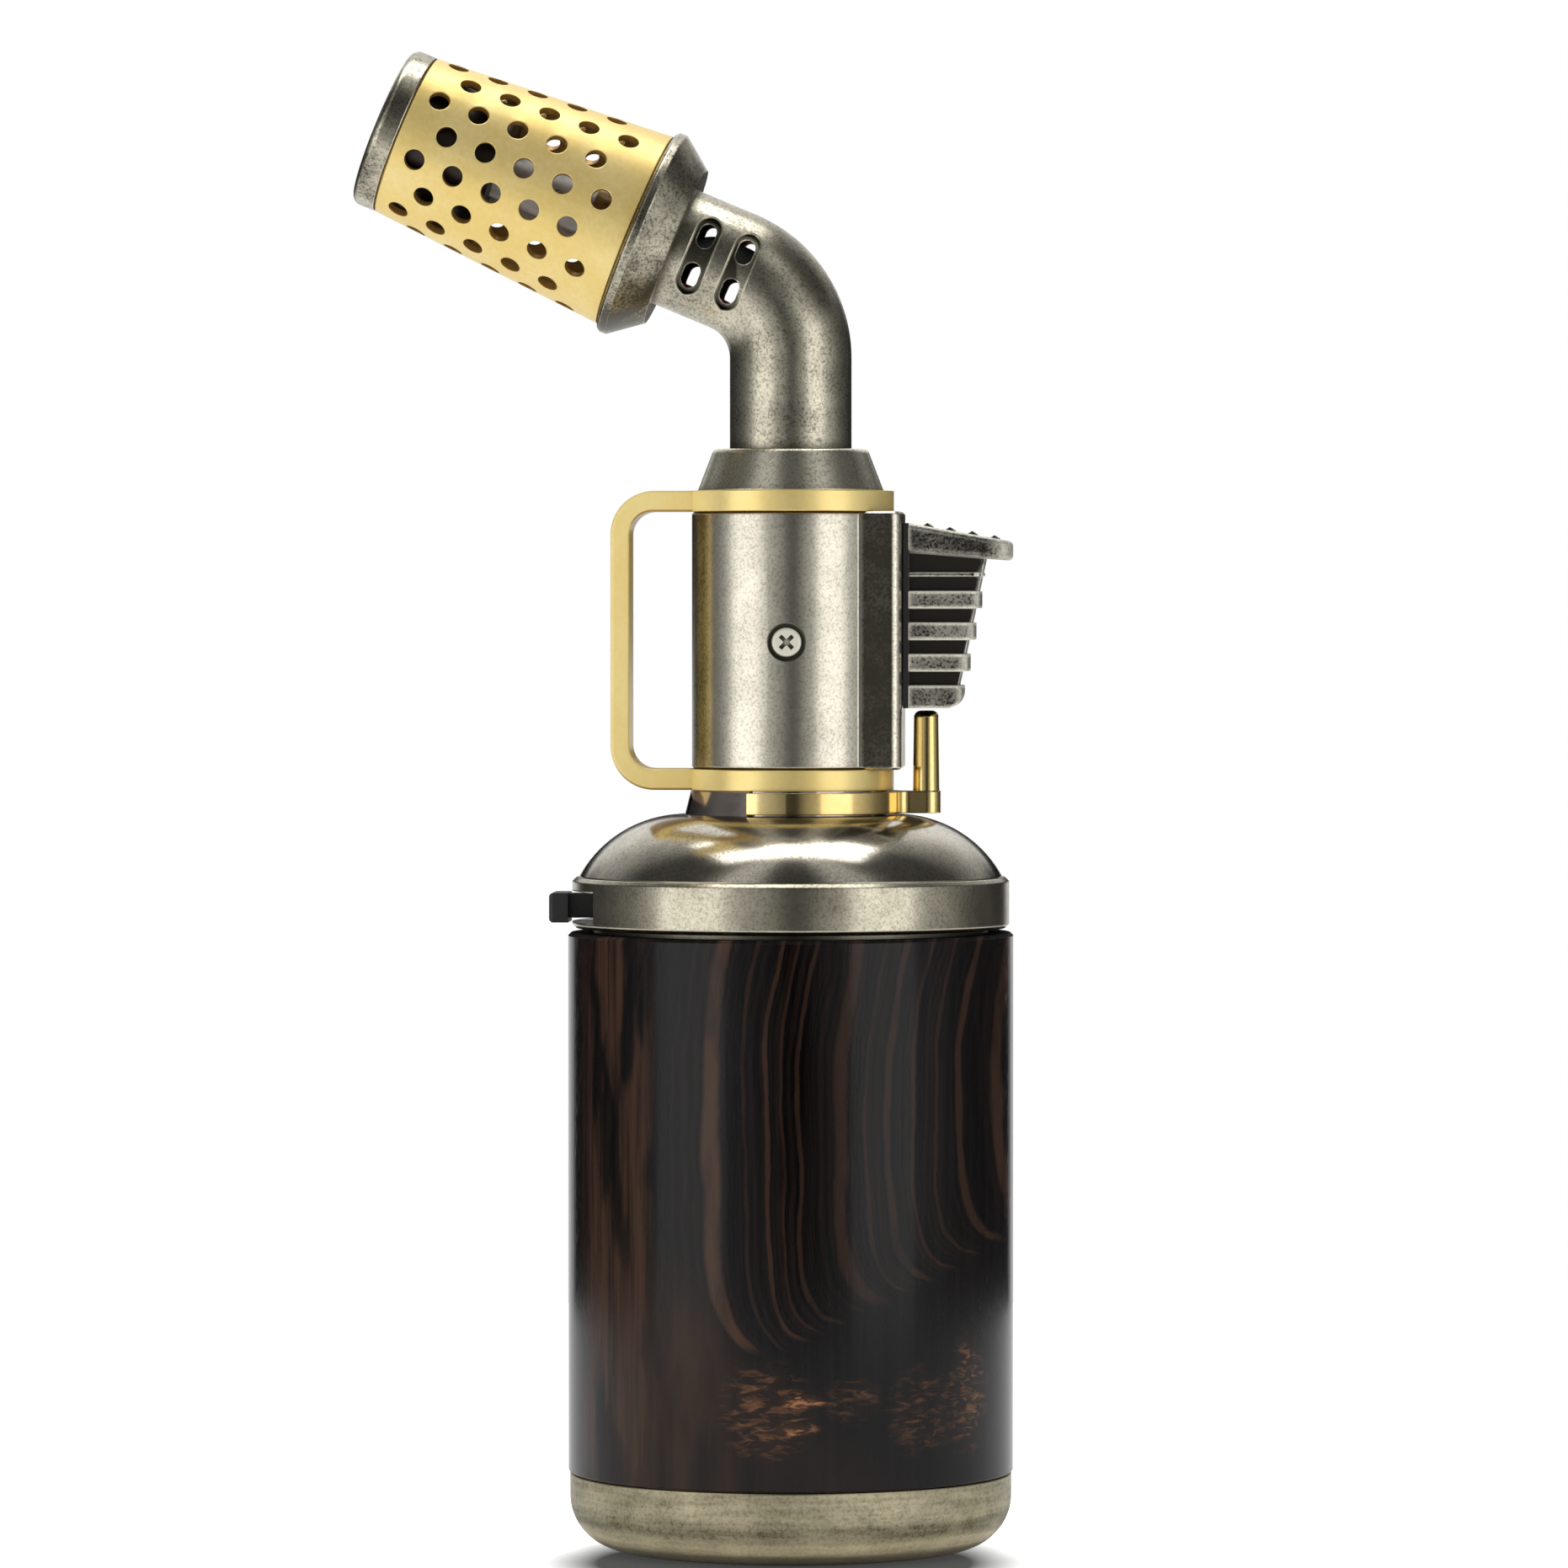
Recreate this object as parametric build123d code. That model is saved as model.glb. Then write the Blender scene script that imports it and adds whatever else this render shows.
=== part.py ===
from build123d import *
import math
import os

os.makedirs("parts", exist_ok=True)

# A table torch lighter: a round fuel base, a neck with a thumb trigger and a finger loop,
# and a burner on a bent tube. Sizes in millimetres, +Z up, origin at the centre of the foot.
# The burner points to -X, the trigger to +X.

# Fits: what moves past another piece, what slips into a bore, what turns on a pin
running_gap = 0.3
slip_gap = 0.1
pin_gap = 0.05
overrun = 1.0

# Wooden sleeve round the tank, which sets the base's width
sleeve_radius = 23.0
sleeve_wall = 2.3
sleeve_height = 55.8
sleeve_edge_bevel = 0.3

# Base cup, cast, with a rolled edge and a recess for the filling valve
base_inset = 0.17
base_height = 7.8
base_edge_radius = 5.5
base_wall = 1.2
base_floor = 3.2
base_inner_corner = 3.0
base_recess_radius = 6.0
base_web = 1.6
base_recess_bevel = 0.4

# Fuel tank, drawn brass
tank_wall = 1.2
tank_drop = 1.0
tank_edge_radius = 2.0
tank_rim_height = 1.4
tank_rim_wall = 1.6

# Shoulder ring screwed on the tank's rim, with a slot for the flame adjuster
shoulder_inset = 0.43
shoulder_height = 5.2
shoulder_groove = 0.5
shoulder_wall = 1.7
shoulder_seat_width = 3.57
shoulder_edge_bevel = 0.4
adjuster_slot_web = 0.65
adjuster_slot_height = 3.2
adjuster_slot_half_deg = 29.0

# Dome over the valve chamber
dome_height = 6.5
dome_foot_inset = 0.67
dome_flat_radius = 11.0
dome_wall = 1.2
dome_spigot_depth = 1.1
dome_spigot_wall = 1.3

# Lock collar: core that the lock lever turns on, stop block, threaded spigots up and down
collar_height = 2.55
collar_core_radius = 9.9
collar_bore_radius = 8.0
collar_block_foot_radius = 10.95
collar_block_top_radius = 10.3
collar_down_spigot_radius = 8.5
collar_down_spigot_depth = 3.6
collar_up_spigot_rise = 4.65

# Nut under the dome that clamps the neck
nut_radius = 10.8
nut_height = 2.8
nut_slot_count = 4
nut_slot_width = 2.0
nut_slot_depth = 1.1

# Handle: two rings and a finger loop, one casting
handle_ring_radius = 10.65
handle_ring_height = 2.15
handle_reach = 18.43
handle_strip_thickness = 1.93
handle_strip_width = 7.5
handle_outer_corner = 4.5
handle_inner_corner = 2.4
handle_edge_round = 0.35

# Neck casing with a square front that the trigger slides on
casing_radius = 10.2
casing_wall = 1.2
casing_height = 26.5
casing_front = 11.65
casing_block_half_width = 7.2
casing_edge_radius = 1.2
casing_inner_corner = 0.5
casing_rim_bevel = 0.25

# Screws through the casing's sides into the inner frame
screw_height = 13.1
screw_head_radius = 1.58
screw_head_height = 0.7
screw_head_round = 0.45
screw_shank_radius = 0.95
screw_length = 4.4
screw_slot_width = 0.42
screw_slot_length = 1.8
screw_slot_depth = 0.4
screw_seat_radius = 1.87

# Inner frame: two cheeks and a back, carries the igniter and the rocker
frame_channel_half_width = 4.2
frame_back = 6.2
frame_top = 20.0
frame_foot_drop = 7.6
frame_platform = 1.2
frame_platform_drop = 2.0

# Top collar, a cone that the bent tube stands in
top_collar_foot_radius = 9.6
top_collar_height = 4.3
top_collar_cone_deg = 21.0
top_collar_edge_radius = 0.6
top_collar_spigot_depth = 4.5
top_collar_seat_depth = 3.1

# Bent burner tube
elbow_radius = 6.28
elbow_wall = 0.98
elbow_rise = 9.42
elbow_bend_radius = 9.74
elbow_inner_corner = 1.0
elbow_turn_deg = 67.34
pocket_length = 8.4
pocket_height = 2.6
pocket_depth = 0.4
pocket_first = -0.8
pocket_pitch = 4.3
pocket_count = 2
vent_length = 2.6
vent_height = 1.7
vent_offset = 2.14

# Burner, measured along its axis from the end of the tube's bend
rear_cap_start = 6.34
rear_cap_back_radius = 8.5
rear_cap_cone_length = 3.31
rear_cap_ridge_radius = 11.05
rear_cap_rim_length = 1.05
rear_cap_rim_bevel = 0.3
rear_cap_seat = 2.6
rear_cap_web = 1.0
rear_cap_spigot_length = 2.3
rear_cap_spigot_wall = 1.0
shroud_length = 26.0
shroud_rear_radius = 10.4
shroud_front_radius = 8.49
shroud_wall = 0.8
shroud_hole_radius = 1.075
shroud_row_count = 16
shroud_row_phase_deg = 8.0
shroud_holes_in_row = 5
shroud_hole_first = 3.9
shroud_hole_pitch = 4.3
shroud_row_shift = 2.2
seam_width = 0.22
seam_depth = 0.3
front_ring_length = 2.5
front_ring_radius = 8.5
front_ring_bore_radius = 6.6
front_ring_round = 0.9
front_ring_spigot_length = 1.5

# Jet, mixing tube and flame cup inside the shroud
holder_flange = 1.4
holder_flange_gap = 0.4
holder_boss_radius = 3.6
holder_boss_length = 4.4
holder_spigot_length = 1.5
holder_barb_length = 1.8
jet_radius = 1.3
jet_tip_radius = 0.7
jet_orifice_radius = 0.25
jet_length = 4.7
jet_proud = 1.0
mixer_radius = 2.6
mixer_wall = 0.5
mixer_length = 11.3
mixer_port_radius = 0.8
mixer_port_count = 4
mixer_port_offset = 3.8
cup_radius = 7.0
cup_wall = 0.6
cup_back = 0.8
cup_length = 10.5
flame_holder_thickness = 2.0
flame_holder_offset = 2.8
flame_hole_radius = 0.75
flame_hole_count = 8

# Spark: wire beside the hose, insulator and electrode in the burner
wire_radius = 0.55
wire_offset_x = -3.6
wire_offset_y = 1.9
wire_bend_radius = 2.0
wire_exit_height = 2.6
insulator_radius = 1.05
insulator_length = 19.0
electrode_radius = 0.4
electrode_depth = 4.0
electrode_reach = 5.0
electrode_bend_radius = 1.0
electrode_tip_length = 1.2
electrode_tip_deg = 50.0

# Gas valve in the tank's top, with its stem, spring and seal
valve_barrel_radius = 3.9
valve_barrel_depth = 6.6
valve_flats = 10.4
valve_seal_thickness = 0.5
valve_flange = 1.7
valve_turret_radius = 3.6
valve_turret_height = 3.2
valve_floor = 1.5
valve_cavity_radius = 2.2
valve_cap = 1.2
valve_inlet_radius = 0.8
stem_radius = 1.0
stem_pad_radius = 1.9
stem_pad_thickness = 1.0
stem_flange_radius = 2.2
stem_flange_thickness = 0.6
stem_nozzle_radius = 0.7
stem_nozzle_length = 4.0
stem_bore_radius = 0.35
stem_port_drop = 7.0
hose_radius = 1.1
hose_cover = 2.2
hose_shift = 1.7
hose_shift_rise = 8.0
hose_shift_start = 26.0
hose_return_start = 1.6
hose_return_run = 4.5
valve_spring_wire = 0.25
valve_spring_turns = 5

# Flame adjuster: ring round the valve's turret with an arm out through the shoulder
adjuster_ring_radius = 6.4
adjuster_thickness = 2.5
adjuster_arm_half_width = 1.6
adjuster_head_proud = 2.28
adjuster_head_half_width = 3.0
adjuster_head_rise = 0.1
adjuster_head_drop = 0.45
adjuster_head_round = 0.45
adjuster_grip_count = 3
adjuster_grip_width = 0.5
adjuster_grip_depth = 0.3

# Rocker that lifts the stem, and its pin
rocker_pin_x = 2.8
rocker_pin_radius = 0.6
rocker_pin_half_length = 6.5
rocker_eye_radius = 1.25
rocker_thickness = 0.9
rocker_front_reach = 4.8
rocker_tail_reach = 3.4
rocker_half_width = 2.6
rocker_nose_half_length = 0.4
rocker_nose_rise = 0.15
rocker_turn = 0.25

# Piezo igniter
piezo_back = 1.5
piezo_front = 6.15
piezo_half_width = 4.0
piezo_height = 15.0
piezo_corner = 0.8
piezo_floor = 1.5
piezo_shell = 0.6
plunger_height = 11.5
plunger_proud = 6.5
plunger_corner = 0.4
piezo_spring_wire = 0.25
piezo_spring_turns = 6

# Trigger and the slider behind it
trigger_travel = 5.0
trigger_top_drop = 1.2
trigger_height = 19.0
trigger_half_width = 5.5
trigger_wall = 1.1
trigger_corner_radius = 1.5
trigger_plate_thickness = 3.0
trigger_plate_tip = 1.95
trigger_plate_reach = 10.6
trigger_plate_slope = 1.9
trigger_plate_round = 0.5
trigger_core_inset = 0.7
trigger_core_top_depth = 8.0
trigger_core_foot_depth = 4.8
trigger_lip_depth = 7.7
trigger_lip_height = 0.35
trigger_lip_drop = 2.45
trigger_lip_inset = 0.3
rib_count = 4
rib_depth = 7.4
rib_step = 0.6
rib_pitch = 3.23
rib_height = 1.75
rib_drop = 7.0
rib_foot_round = 1.7
grip_ridge_count = 4
grip_ridge_first = 1.9
grip_ridge_pitch = 2.3
grip_ridge_length = 0.9
grip_ridge_height = 0.28
grip_ridge_half_width = 3.9
catch_lug_width = 1.75
catch_lug_thickness = 1.0
slider_gap = 0.12
slider_plate = 0.53
slider_key_half_width = 2.9
slider_key_height = 9.0
slider_key_drop = 1.8
slider_wing_half_width = 4.8
slider_wing_thickness = 0.85
slider_plug_depth = 1.6
slider_plug_height = 9.0
slider_foot_thickness = 2.5
slider_leg_half_width = 1.5
slider_leg_thickness = 1.05

# Lock lever: band round the collar, arm and post under the trigger
lever_band_radius = 11.5
lever_band_start_deg = -111.0
lever_band_end_deg = 131.0
lever_turn_deg = 8.0
lever_stop_gap_deg = 0.5
lever_float = 0.15
lever_reach = 15.5
lever_post_gap = 0.85
lever_post_half_width = 2.0
lever_post_draft = 0.05
lever_post_roundness = 0.47
lever_post_ledge = 0.1
lever_post_dome = 0.28
lever_root_radius = 1.2
catch_drop = 3.2
catch_height = 1.5
catch_depth = 1.8

# Filling valve in the base
filler_radius = 3.0
filler_flange_radius = 5.0
filler_flange = 0.9
filler_height = 10.4
filler_port_radius = 1.3
filler_port_depth = 1.3
filler_pin_radius = 0.7
filler_cavity_radius = 2.1
filler_cap = 0.8
filler_pad_radius = 1.8
filler_pad_thickness = 0.8
filler_seal_radius = 4.3
filler_seal_thickness = 0.8
filler_spring_wire = 0.25
filler_spring_turns = 4

# Heights and radii that follow from the sizes above
base_radius = sleeve_radius - base_inset
shoulder_radius = sleeve_radius - shoulder_inset
dome_foot_radius = shoulder_radius - dome_foot_inset
adjuster_head_reach = shoulder_radius + adjuster_head_proud
sleeve_top = base_height + sleeve_height
sleeve_bore = sleeve_radius - sleeve_wall
tank_radius = sleeve_bore - slip_gap
tank_top = sleeve_top - tank_drop
shoulder_bottom = sleeve_top + shoulder_groove
shoulder_top = shoulder_bottom + shoulder_height
shoulder_bore = shoulder_radius - shoulder_seat_width
adjuster_slot_floor = shoulder_bottom + adjuster_slot_web
dome_top = shoulder_top + dome_height
collar_top = dome_top + collar_height
lower_ring_top = collar_top + handle_ring_height
casing_bore = casing_radius - casing_wall
casing_top = lower_ring_top + casing_height
casing_pocket_front = casing_front - casing_wall
upper_ring_top = casing_top + handle_ring_height
top_collar_top = upper_ring_top + top_collar_height
bend_start = top_collar_top + elbow_rise
elbow_bore = elbow_radius - elbow_wall
spigot_radius = casing_bore - pin_gap
collar_spigot_top = collar_top + collar_up_spigot_rise
frame_seat = collar_spigot_top
frame_foot = dome_top - frame_foot_drop
screw_level = lower_ring_top + screw_height
shroud_start = rear_cap_start + rear_cap_cone_length + rear_cap_rim_length
shroud_end = shroud_start + shroud_length
rear_cap_web_end = rear_cap_start + rear_cap_seat + rear_cap_web
burner_end = shroud_end + front_ring_length
holder_boss_end = rear_cap_web_end + holder_flange + holder_boss_length
mixer_bore = mixer_radius - mixer_wall
cup_start = shroud_end - cup_length
valve_seat = tank_top + valve_seal_thickness
valve_flange_top = valve_seat + valve_flange
valve_turret_top = valve_flange_top + valve_turret_height
valve_bottom = tank_top - valve_barrel_depth
valve_cavity_floor = valve_bottom + valve_floor
valve_cavity_top = valve_turret_top - valve_cap
adjuster_level = valve_flange_top + running_gap
rocker_pin_level = frame_foot + rocker_pin_radius + rocker_eye_radius
rocker_top = rocker_pin_level + rocker_eye_radius
stem_flange_level = rocker_top + rocker_nose_rise + running_gap
hose_bore = stem_nozzle_radius + pin_gap
trigger_top = casing_top - trigger_top_drop
trigger_bottom = trigger_top - trigger_height
slider_front = casing_front + slider_gap
trigger_back = slider_front + slider_plate
lever_bottom = dome_top + lever_float
lever_top = collar_top - lever_float
lever_bore = collar_core_radius + slip_gap
lever_post_inner = casing_front + lever_post_gap
post_top = trigger_bottom - running_gap
piezo_bottom = lower_ring_top - frame_platform_drop
piezo_top = piezo_bottom + piezo_height
plunger_top = piezo_top + plunger_proud
plunger_bottom = plunger_top - plunger_height
recess_ceiling = base_floor - base_web
filler_face = recess_ceiling - filler_flange
filler_cavity_floor = base_floor + tank_wall
filler_top = filler_face + filler_height
filler_cavity_top = filler_top - filler_cap


def turned(points):
    """Solid of revolution about Z from a closed outline of (radius, height) points."""
    outline = Polyline(*points, close=True)
    return revolve(Plane.XZ * make_face(outline), Axis.Z)


def tube(outer_radius, inner_radius, low, high):
    """Plain ring or tube about Z between two heights."""
    return Pos(0, 0, low) * extrude(Circle(outer_radius) - Circle(inner_radius), high - low)


def rod(radius, low, high):
    """Plain rod about Z between two heights."""
    return Pos(0, 0, low) * extrude(Circle(radius), high - low)


def block(x_low, x_high, half_width, low, high):
    """Block that is centred on the lighter's middle plane."""
    face = Rectangle(x_high - x_low, 2 * half_width)
    return Pos((x_low + x_high) / 2, 0, low) * extrude(face, high - low)


def side_cut(radius, x, level, start, end):
    """Round cutter along Y, from start to end, at one place of the side view."""
    cutter = extrude(Circle(radius), end - start)
    return Pos(x, start, level) * Rot(-90, 0, 0) * cutter


def spring(mean_radius, wire_radius, turns, low, high):
    """Compression spring about Z that stands between two heights."""
    rise = high - low - 2 * wire_radius
    path = Helix(pitch=rise / turns, height=rise, radius=mean_radius)
    section = Plane(origin=path @ 0, z_dir=path % 0) * Circle(wire_radius)
    return Pos(0, 0, low + wire_radius) * sweep(section, path=path)


def burner_frame():
    """Place at the end of the tube's bend: Z along the burner, X to the viewer's side, Y up."""
    turn = math.radians(elbow_turn_deg)
    end_x = elbow_bend_radius * (math.cos(turn) - 1)
    end_z = bend_start + elbow_bend_radius * math.sin(turn)
    forward = Vector(-math.sin(turn), 0, math.cos(turn))
    return Plane(origin=(end_x, 0, end_z), x_dir=(0, -1, 0), z_dir=forward)


def bent_rod(radius, low, run, x=0, y=0):
    """Round rod that rises beside the neck's axis, follows the bend and runs on along the burner."""
    section = Circle(radius)
    upright = Pos(x, y, low) * extrude(section, bend_start - low)
    bend_axis = Axis((-elbow_bend_radius, 0, bend_start), (0, -1, 0))
    bend = revolve(Pos(x, y, bend_start) * section, bend_axis, elbow_turn_deg)
    onward = burner_frame() * (Pos(-y, x, 0) * extrude(section, run))
    return upright + bend + onward


def tight_corner():
    """Inner side of the bend, which is cast tighter than the tube's outer sweep."""
    turn = math.radians(elbow_turn_deg)
    tight_radius = elbow_radius + elbow_inner_corner
    stub = (elbow_bend_radius - tight_radius) * math.tan(turn / 2)
    section = Circle(elbow_radius)
    upright = Pos(0, 0, bend_start) * extrude(section, stub)
    bend_axis = Axis((-tight_radius, 0, bend_start + stub), (0, -1, 0))
    bend = revolve(Pos(0, 0, bend_start + stub) * section, bend_axis, elbow_turn_deg)
    onward = burner_frame() * (Pos(0, 0, -stub) * extrude(section, stub))
    reach = elbow_radius + overrun
    inner_side = side_cut(elbow_bend_radius, -elbow_bend_radius, bend_start, -reach, reach)
    return (upright + bend + onward) & inner_side


def make_base_cup():
    floor_radius = base_radius - base_edge_radius
    inner_radius = base_radius - base_wall
    inner_floor = inner_radius - base_inner_corner
    outline = [
        Line((base_recess_radius, 0), (floor_radius, 0)),
        RadiusArc((floor_radius, 0), (base_radius, base_edge_radius), -base_edge_radius),
        Line((base_radius, base_edge_radius), (base_radius, base_height)),
        Line((base_radius, base_height), (inner_radius, base_height)),
        Line((inner_radius, base_height), (inner_radius, base_floor + base_inner_corner)),
        RadiusArc(
            (inner_radius, base_floor + base_inner_corner),
            (inner_floor, base_floor),
            base_inner_corner,
        ),
        Line((inner_floor, base_floor), (filler_radius, base_floor)),
        Line((filler_radius, base_floor), (filler_radius, recess_ceiling)),
        Line((filler_radius, recess_ceiling), (base_recess_radius, recess_ceiling)),
        Line((base_recess_radius, recess_ceiling), (base_recess_radius, 0)),
    ]
    cup = revolve(Plane.XZ * make_face(Curve() + outline), Axis.Z)
    mouth = cup.edges().filter_by(GeomType.CIRCLE).group_by(Axis.Z)[0].sort_by(SortBy.RADIUS)[0]
    cup = chamfer(mouth, base_recess_bevel)
    seal_seat = rod(filler_seal_radius + slip_gap, base_floor - filler_seal_thickness, base_floor)
    return cup - seal_seat


def make_wood_sleeve():
    sleeve = tube(sleeve_radius, sleeve_bore, base_height, sleeve_top)
    rims = sleeve.edges().filter_by(GeomType.CIRCLE).sort_by(SortBy.RADIUS)[-2:]
    return chamfer(rims, sleeve_edge_bevel)


def make_fuel_tank():
    tank = rod(tank_radius, base_floor, tank_top)
    ends = tank.edges().filter_by(GeomType.CIRCLE)
    tank = fillet(ends, tank_edge_radius)
    hollow = rod(tank_radius - tank_wall, base_floor + tank_wall, tank_top - tank_wall)
    hollow = fillet(hollow.edges().filter_by(GeomType.CIRCLE), tank_edge_radius - tank_wall)
    rim_radius = shoulder_bore - pin_gap
    rim_foot = tank_top - tank_edge_radius
    rim = tube(rim_radius, rim_radius - tank_rim_wall, rim_foot, tank_top + tank_rim_height)
    rim -= rod(tank_radius, tank_top - 2 * tank_edge_radius, tank_top - tank_wall)
    valve_hole = rod(valve_barrel_radius, tank_top - tank_wall - overrun, tank_top + overrun)
    filler_hole = rod(filler_radius, base_floor - overrun, base_floor + tank_wall + overrun)
    return tank + rim - hollow - valve_hole - filler_hole


def make_shoulder_ring():
    spigot = sleeve_bore - running_gap
    inner = shoulder_radius - shoulder_wall
    ring = turned([
        (shoulder_bore, tank_top),
        (spigot, tank_top),
        (spigot, shoulder_bottom),
        (shoulder_radius - shoulder_edge_bevel, shoulder_bottom),
        (shoulder_radius, shoulder_bottom + shoulder_edge_bevel),
        (shoulder_radius, shoulder_top - shoulder_edge_bevel),
        (shoulder_radius - shoulder_edge_bevel, shoulder_top),
        (inner, shoulder_top),
        (inner, adjuster_slot_floor),
        (shoulder_bore, adjuster_slot_floor),
    ])
    slot_outline = Polyline(
        (inner - overrun, adjuster_slot_floor),
        (shoulder_radius + overrun, adjuster_slot_floor),
        (shoulder_radius + overrun, adjuster_slot_floor + adjuster_slot_height),
        (inner - overrun, adjuster_slot_floor + adjuster_slot_height),
        close=True,
    )
    slot = revolve(Plane.XZ * make_face(slot_outline), Axis.Z, 2 * adjuster_slot_half_deg)
    return ring - Rot(0, 0, 180 - adjuster_slot_half_deg) * slot


def make_dome():
    rise = dome_foot_radius - dome_flat_radius
    crown_radius = (rise**2 + dome_height**2) / (2 * dome_height)
    centre_z = dome_top - crown_radius
    spigot_outer = shoulder_radius - shoulder_wall - pin_gap
    spigot_inner = spigot_outer - dome_spigot_wall
    spigot_foot = shoulder_top - dome_spigot_depth
    inner_crown = crown_radius - dome_wall
    inner_z = centre_z + math.sqrt(inner_crown**2 - (spigot_inner - dome_flat_radius) ** 2)
    underside = dome_top - dome_wall
    bore = collar_down_spigot_radius + slip_gap
    outline = [
        Line((bore, dome_top), (dome_flat_radius, dome_top)),
        RadiusArc((dome_flat_radius, dome_top), (dome_foot_radius, shoulder_top), crown_radius),
        Line((dome_foot_radius, shoulder_top), (spigot_outer, shoulder_top)),
        Line((spigot_outer, shoulder_top), (spigot_outer, spigot_foot)),
        Line((spigot_outer, spigot_foot), (spigot_inner, spigot_foot)),
        Line((spigot_inner, spigot_foot), (spigot_inner, inner_z)),
        RadiusArc((spigot_inner, inner_z), (dome_flat_radius, underside), -inner_crown),
        Line((dome_flat_radius, underside), (bore, underside)),
        Line((bore, underside), (bore, dome_top)),
    ]
    return revolve(Plane.XZ * make_face(Curve() + outline), Axis.Z)


def make_lock_collar():
    core = rod(collar_core_radius, dome_top, collar_top)
    down = rod(collar_down_spigot_radius, dome_top - collar_down_spigot_depth, dome_top)
    up = rod(spigot_radius, collar_top, collar_spigot_top)
    block_outline = Polyline(
        (collar_bore_radius, dome_top),
        (collar_block_foot_radius, dome_top),
        (collar_block_top_radius, collar_top),
        (collar_bore_radius, collar_top),
        close=True,
    )
    block_start = lever_band_end_deg + lever_turn_deg + lever_stop_gap_deg
    block_end = 360 + lever_band_start_deg - lever_stop_gap_deg
    stop = revolve(Plane.XZ * make_face(block_outline), Axis.Z, block_end - block_start)
    collar = core + down + up + Rot(0, 0, block_start) * stop
    foot = dome_top - collar_down_spigot_depth
    return collar - rod(collar_bore_radius, foot - overrun, collar_spigot_top + overrun)


def make_neck_nut():
    top = dome_top - dome_wall
    foot = top - nut_height
    nut = tube(nut_radius, collar_down_spigot_radius, foot, top)
    notch_floor = nut_radius - nut_slot_depth
    notch = block(notch_floor, nut_radius + overrun, nut_slot_width / 2, foot, top)
    for step in range(nut_slot_count):
        nut -= Rot(0, 0, step * 360 / nut_slot_count) * notch
    return nut


def make_handle():
    loop_centre = (collar_top + upper_ring_top) / 2
    loop = Pos(-handle_reach / 2, loop_centre) * Rectangle(handle_reach, upper_ring_top - collar_top)
    loop = fillet(loop.vertices().sort_by(Axis.X)[:2], handle_outer_corner)
    inside_left = handle_reach - handle_strip_thickness
    inside = Pos((overrun - inside_left) / 2, (lower_ring_top + casing_top) / 2) * Rectangle(
        inside_left + overrun, casing_top - lower_ring_top
    )
    inside = fillet(inside.vertices().sort_by(Axis.X)[:2], handle_inner_corner)
    strap = extrude(Plane.XZ * (loop - inside), handle_strip_width / 2, both=True)
    strap = fillet(strap.faces().filter_by(Axis.Y).edges(), handle_edge_round)
    lower = rod(handle_ring_radius, collar_top, lower_ring_top)
    upper = rod(handle_ring_radius, casing_top, upper_ring_top)
    bore = rod(casing_bore, collar_top - overrun, upper_ring_top + overrun)
    return strap + lower + upper - bore


def casing_plan(radius, front, half_width, corner):
    """Round plan with a square front, as the casing has outside and inside."""
    front_block = Pos(front / 2, 0) * Rectangle(front, 2 * half_width)
    front_block = fillet(front_block.vertices().sort_by(Axis.X)[-2:], corner)
    return Circle(radius) + front_block


def make_neck_casing():
    outside = casing_plan(casing_radius, casing_front, casing_block_half_width, casing_edge_radius)
    inside = casing_plan(
        casing_bore, casing_pocket_front, casing_block_half_width - casing_wall, casing_inner_corner
    )
    shell = Pos(0, 0, lower_ring_top) * extrude(outside, casing_height)
    shell = chamfer(shell.faces().sort_by(Axis.Z)[0].edges(), casing_rim_bevel)
    shell = chamfer(shell.faces().sort_by(Axis.Z)[-1].edges(), casing_rim_bevel)
    shell -= Pos(0, 0, lower_ring_top - overrun) * extrude(inside, casing_height + 2 * overrun)
    key_top = trigger_top - slider_key_drop
    slot_low = key_top - slider_key_height - trigger_travel - running_gap
    shell -= block(
        casing_pocket_front - overrun,
        casing_front + overrun,
        slider_key_half_width + running_gap,
        slot_low,
        key_top + running_gap,
    )
    seat = casing_radius - screw_head_height
    inner = casing_bore - overrun
    outer = casing_radius + overrun
    shell -= side_cut(screw_seat_radius, 0, screw_level, seat, outer)
    shell -= side_cut(screw_seat_radius, 0, screw_level, -outer, -seat)
    shell -= side_cut(screw_shank_radius, 0, screw_level, inner, outer)
    return shell - side_cut(screw_shank_radius, 0, screw_level, -outer, -inner)


def make_frame_screws():
    head = extrude(Circle(screw_head_radius), -screw_head_height)
    head = fillet(head.edges().sort_by(Axis.Z)[-1], screw_head_round)
    slot = Rot(0, 0, 45) * Rectangle(screw_slot_length, screw_slot_width)
    head -= extrude(slot + Rot(0, 0, 90) * slot, -screw_slot_depth)
    shank = Pos(0, 0, -screw_head_height) * extrude(Circle(screw_shank_radius), -screw_length)
    screw = head + shank
    near = Pos(0, -casing_radius, screw_level) * Rot(90, 0, 0) * screw
    far = Pos(0, casing_radius, screw_level) * Rot(-90, 0, 0) * screw
    return Compound(children=[near.solid(), far.solid()])


def make_inner_frame():
    cheek_radius = casing_bore - slip_gap
    leg_radius = collar_bore_radius - slip_gap
    top = lower_ring_top + frame_top
    frame = rod(cheek_radius, frame_seat, top) + rod(leg_radius, frame_foot, frame_seat)
    reach = cheek_radius + overrun
    frame -= block(-frame_back, reach, frame_channel_half_width, frame_foot - overrun, top + overrun)
    platform = block(
        piezo_back, piezo_front, frame_channel_half_width, piezo_bottom - frame_platform, piezo_bottom
    )
    frame += platform
    frame -= make_rocker_pin()
    tip = casing_radius - screw_head_height - screw_length
    frame -= side_cut(screw_shank_radius, 0, screw_level, tip, reach)
    frame -= side_cut(screw_shank_radius, 0, screw_level, -reach, -tip)
    return frame


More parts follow.
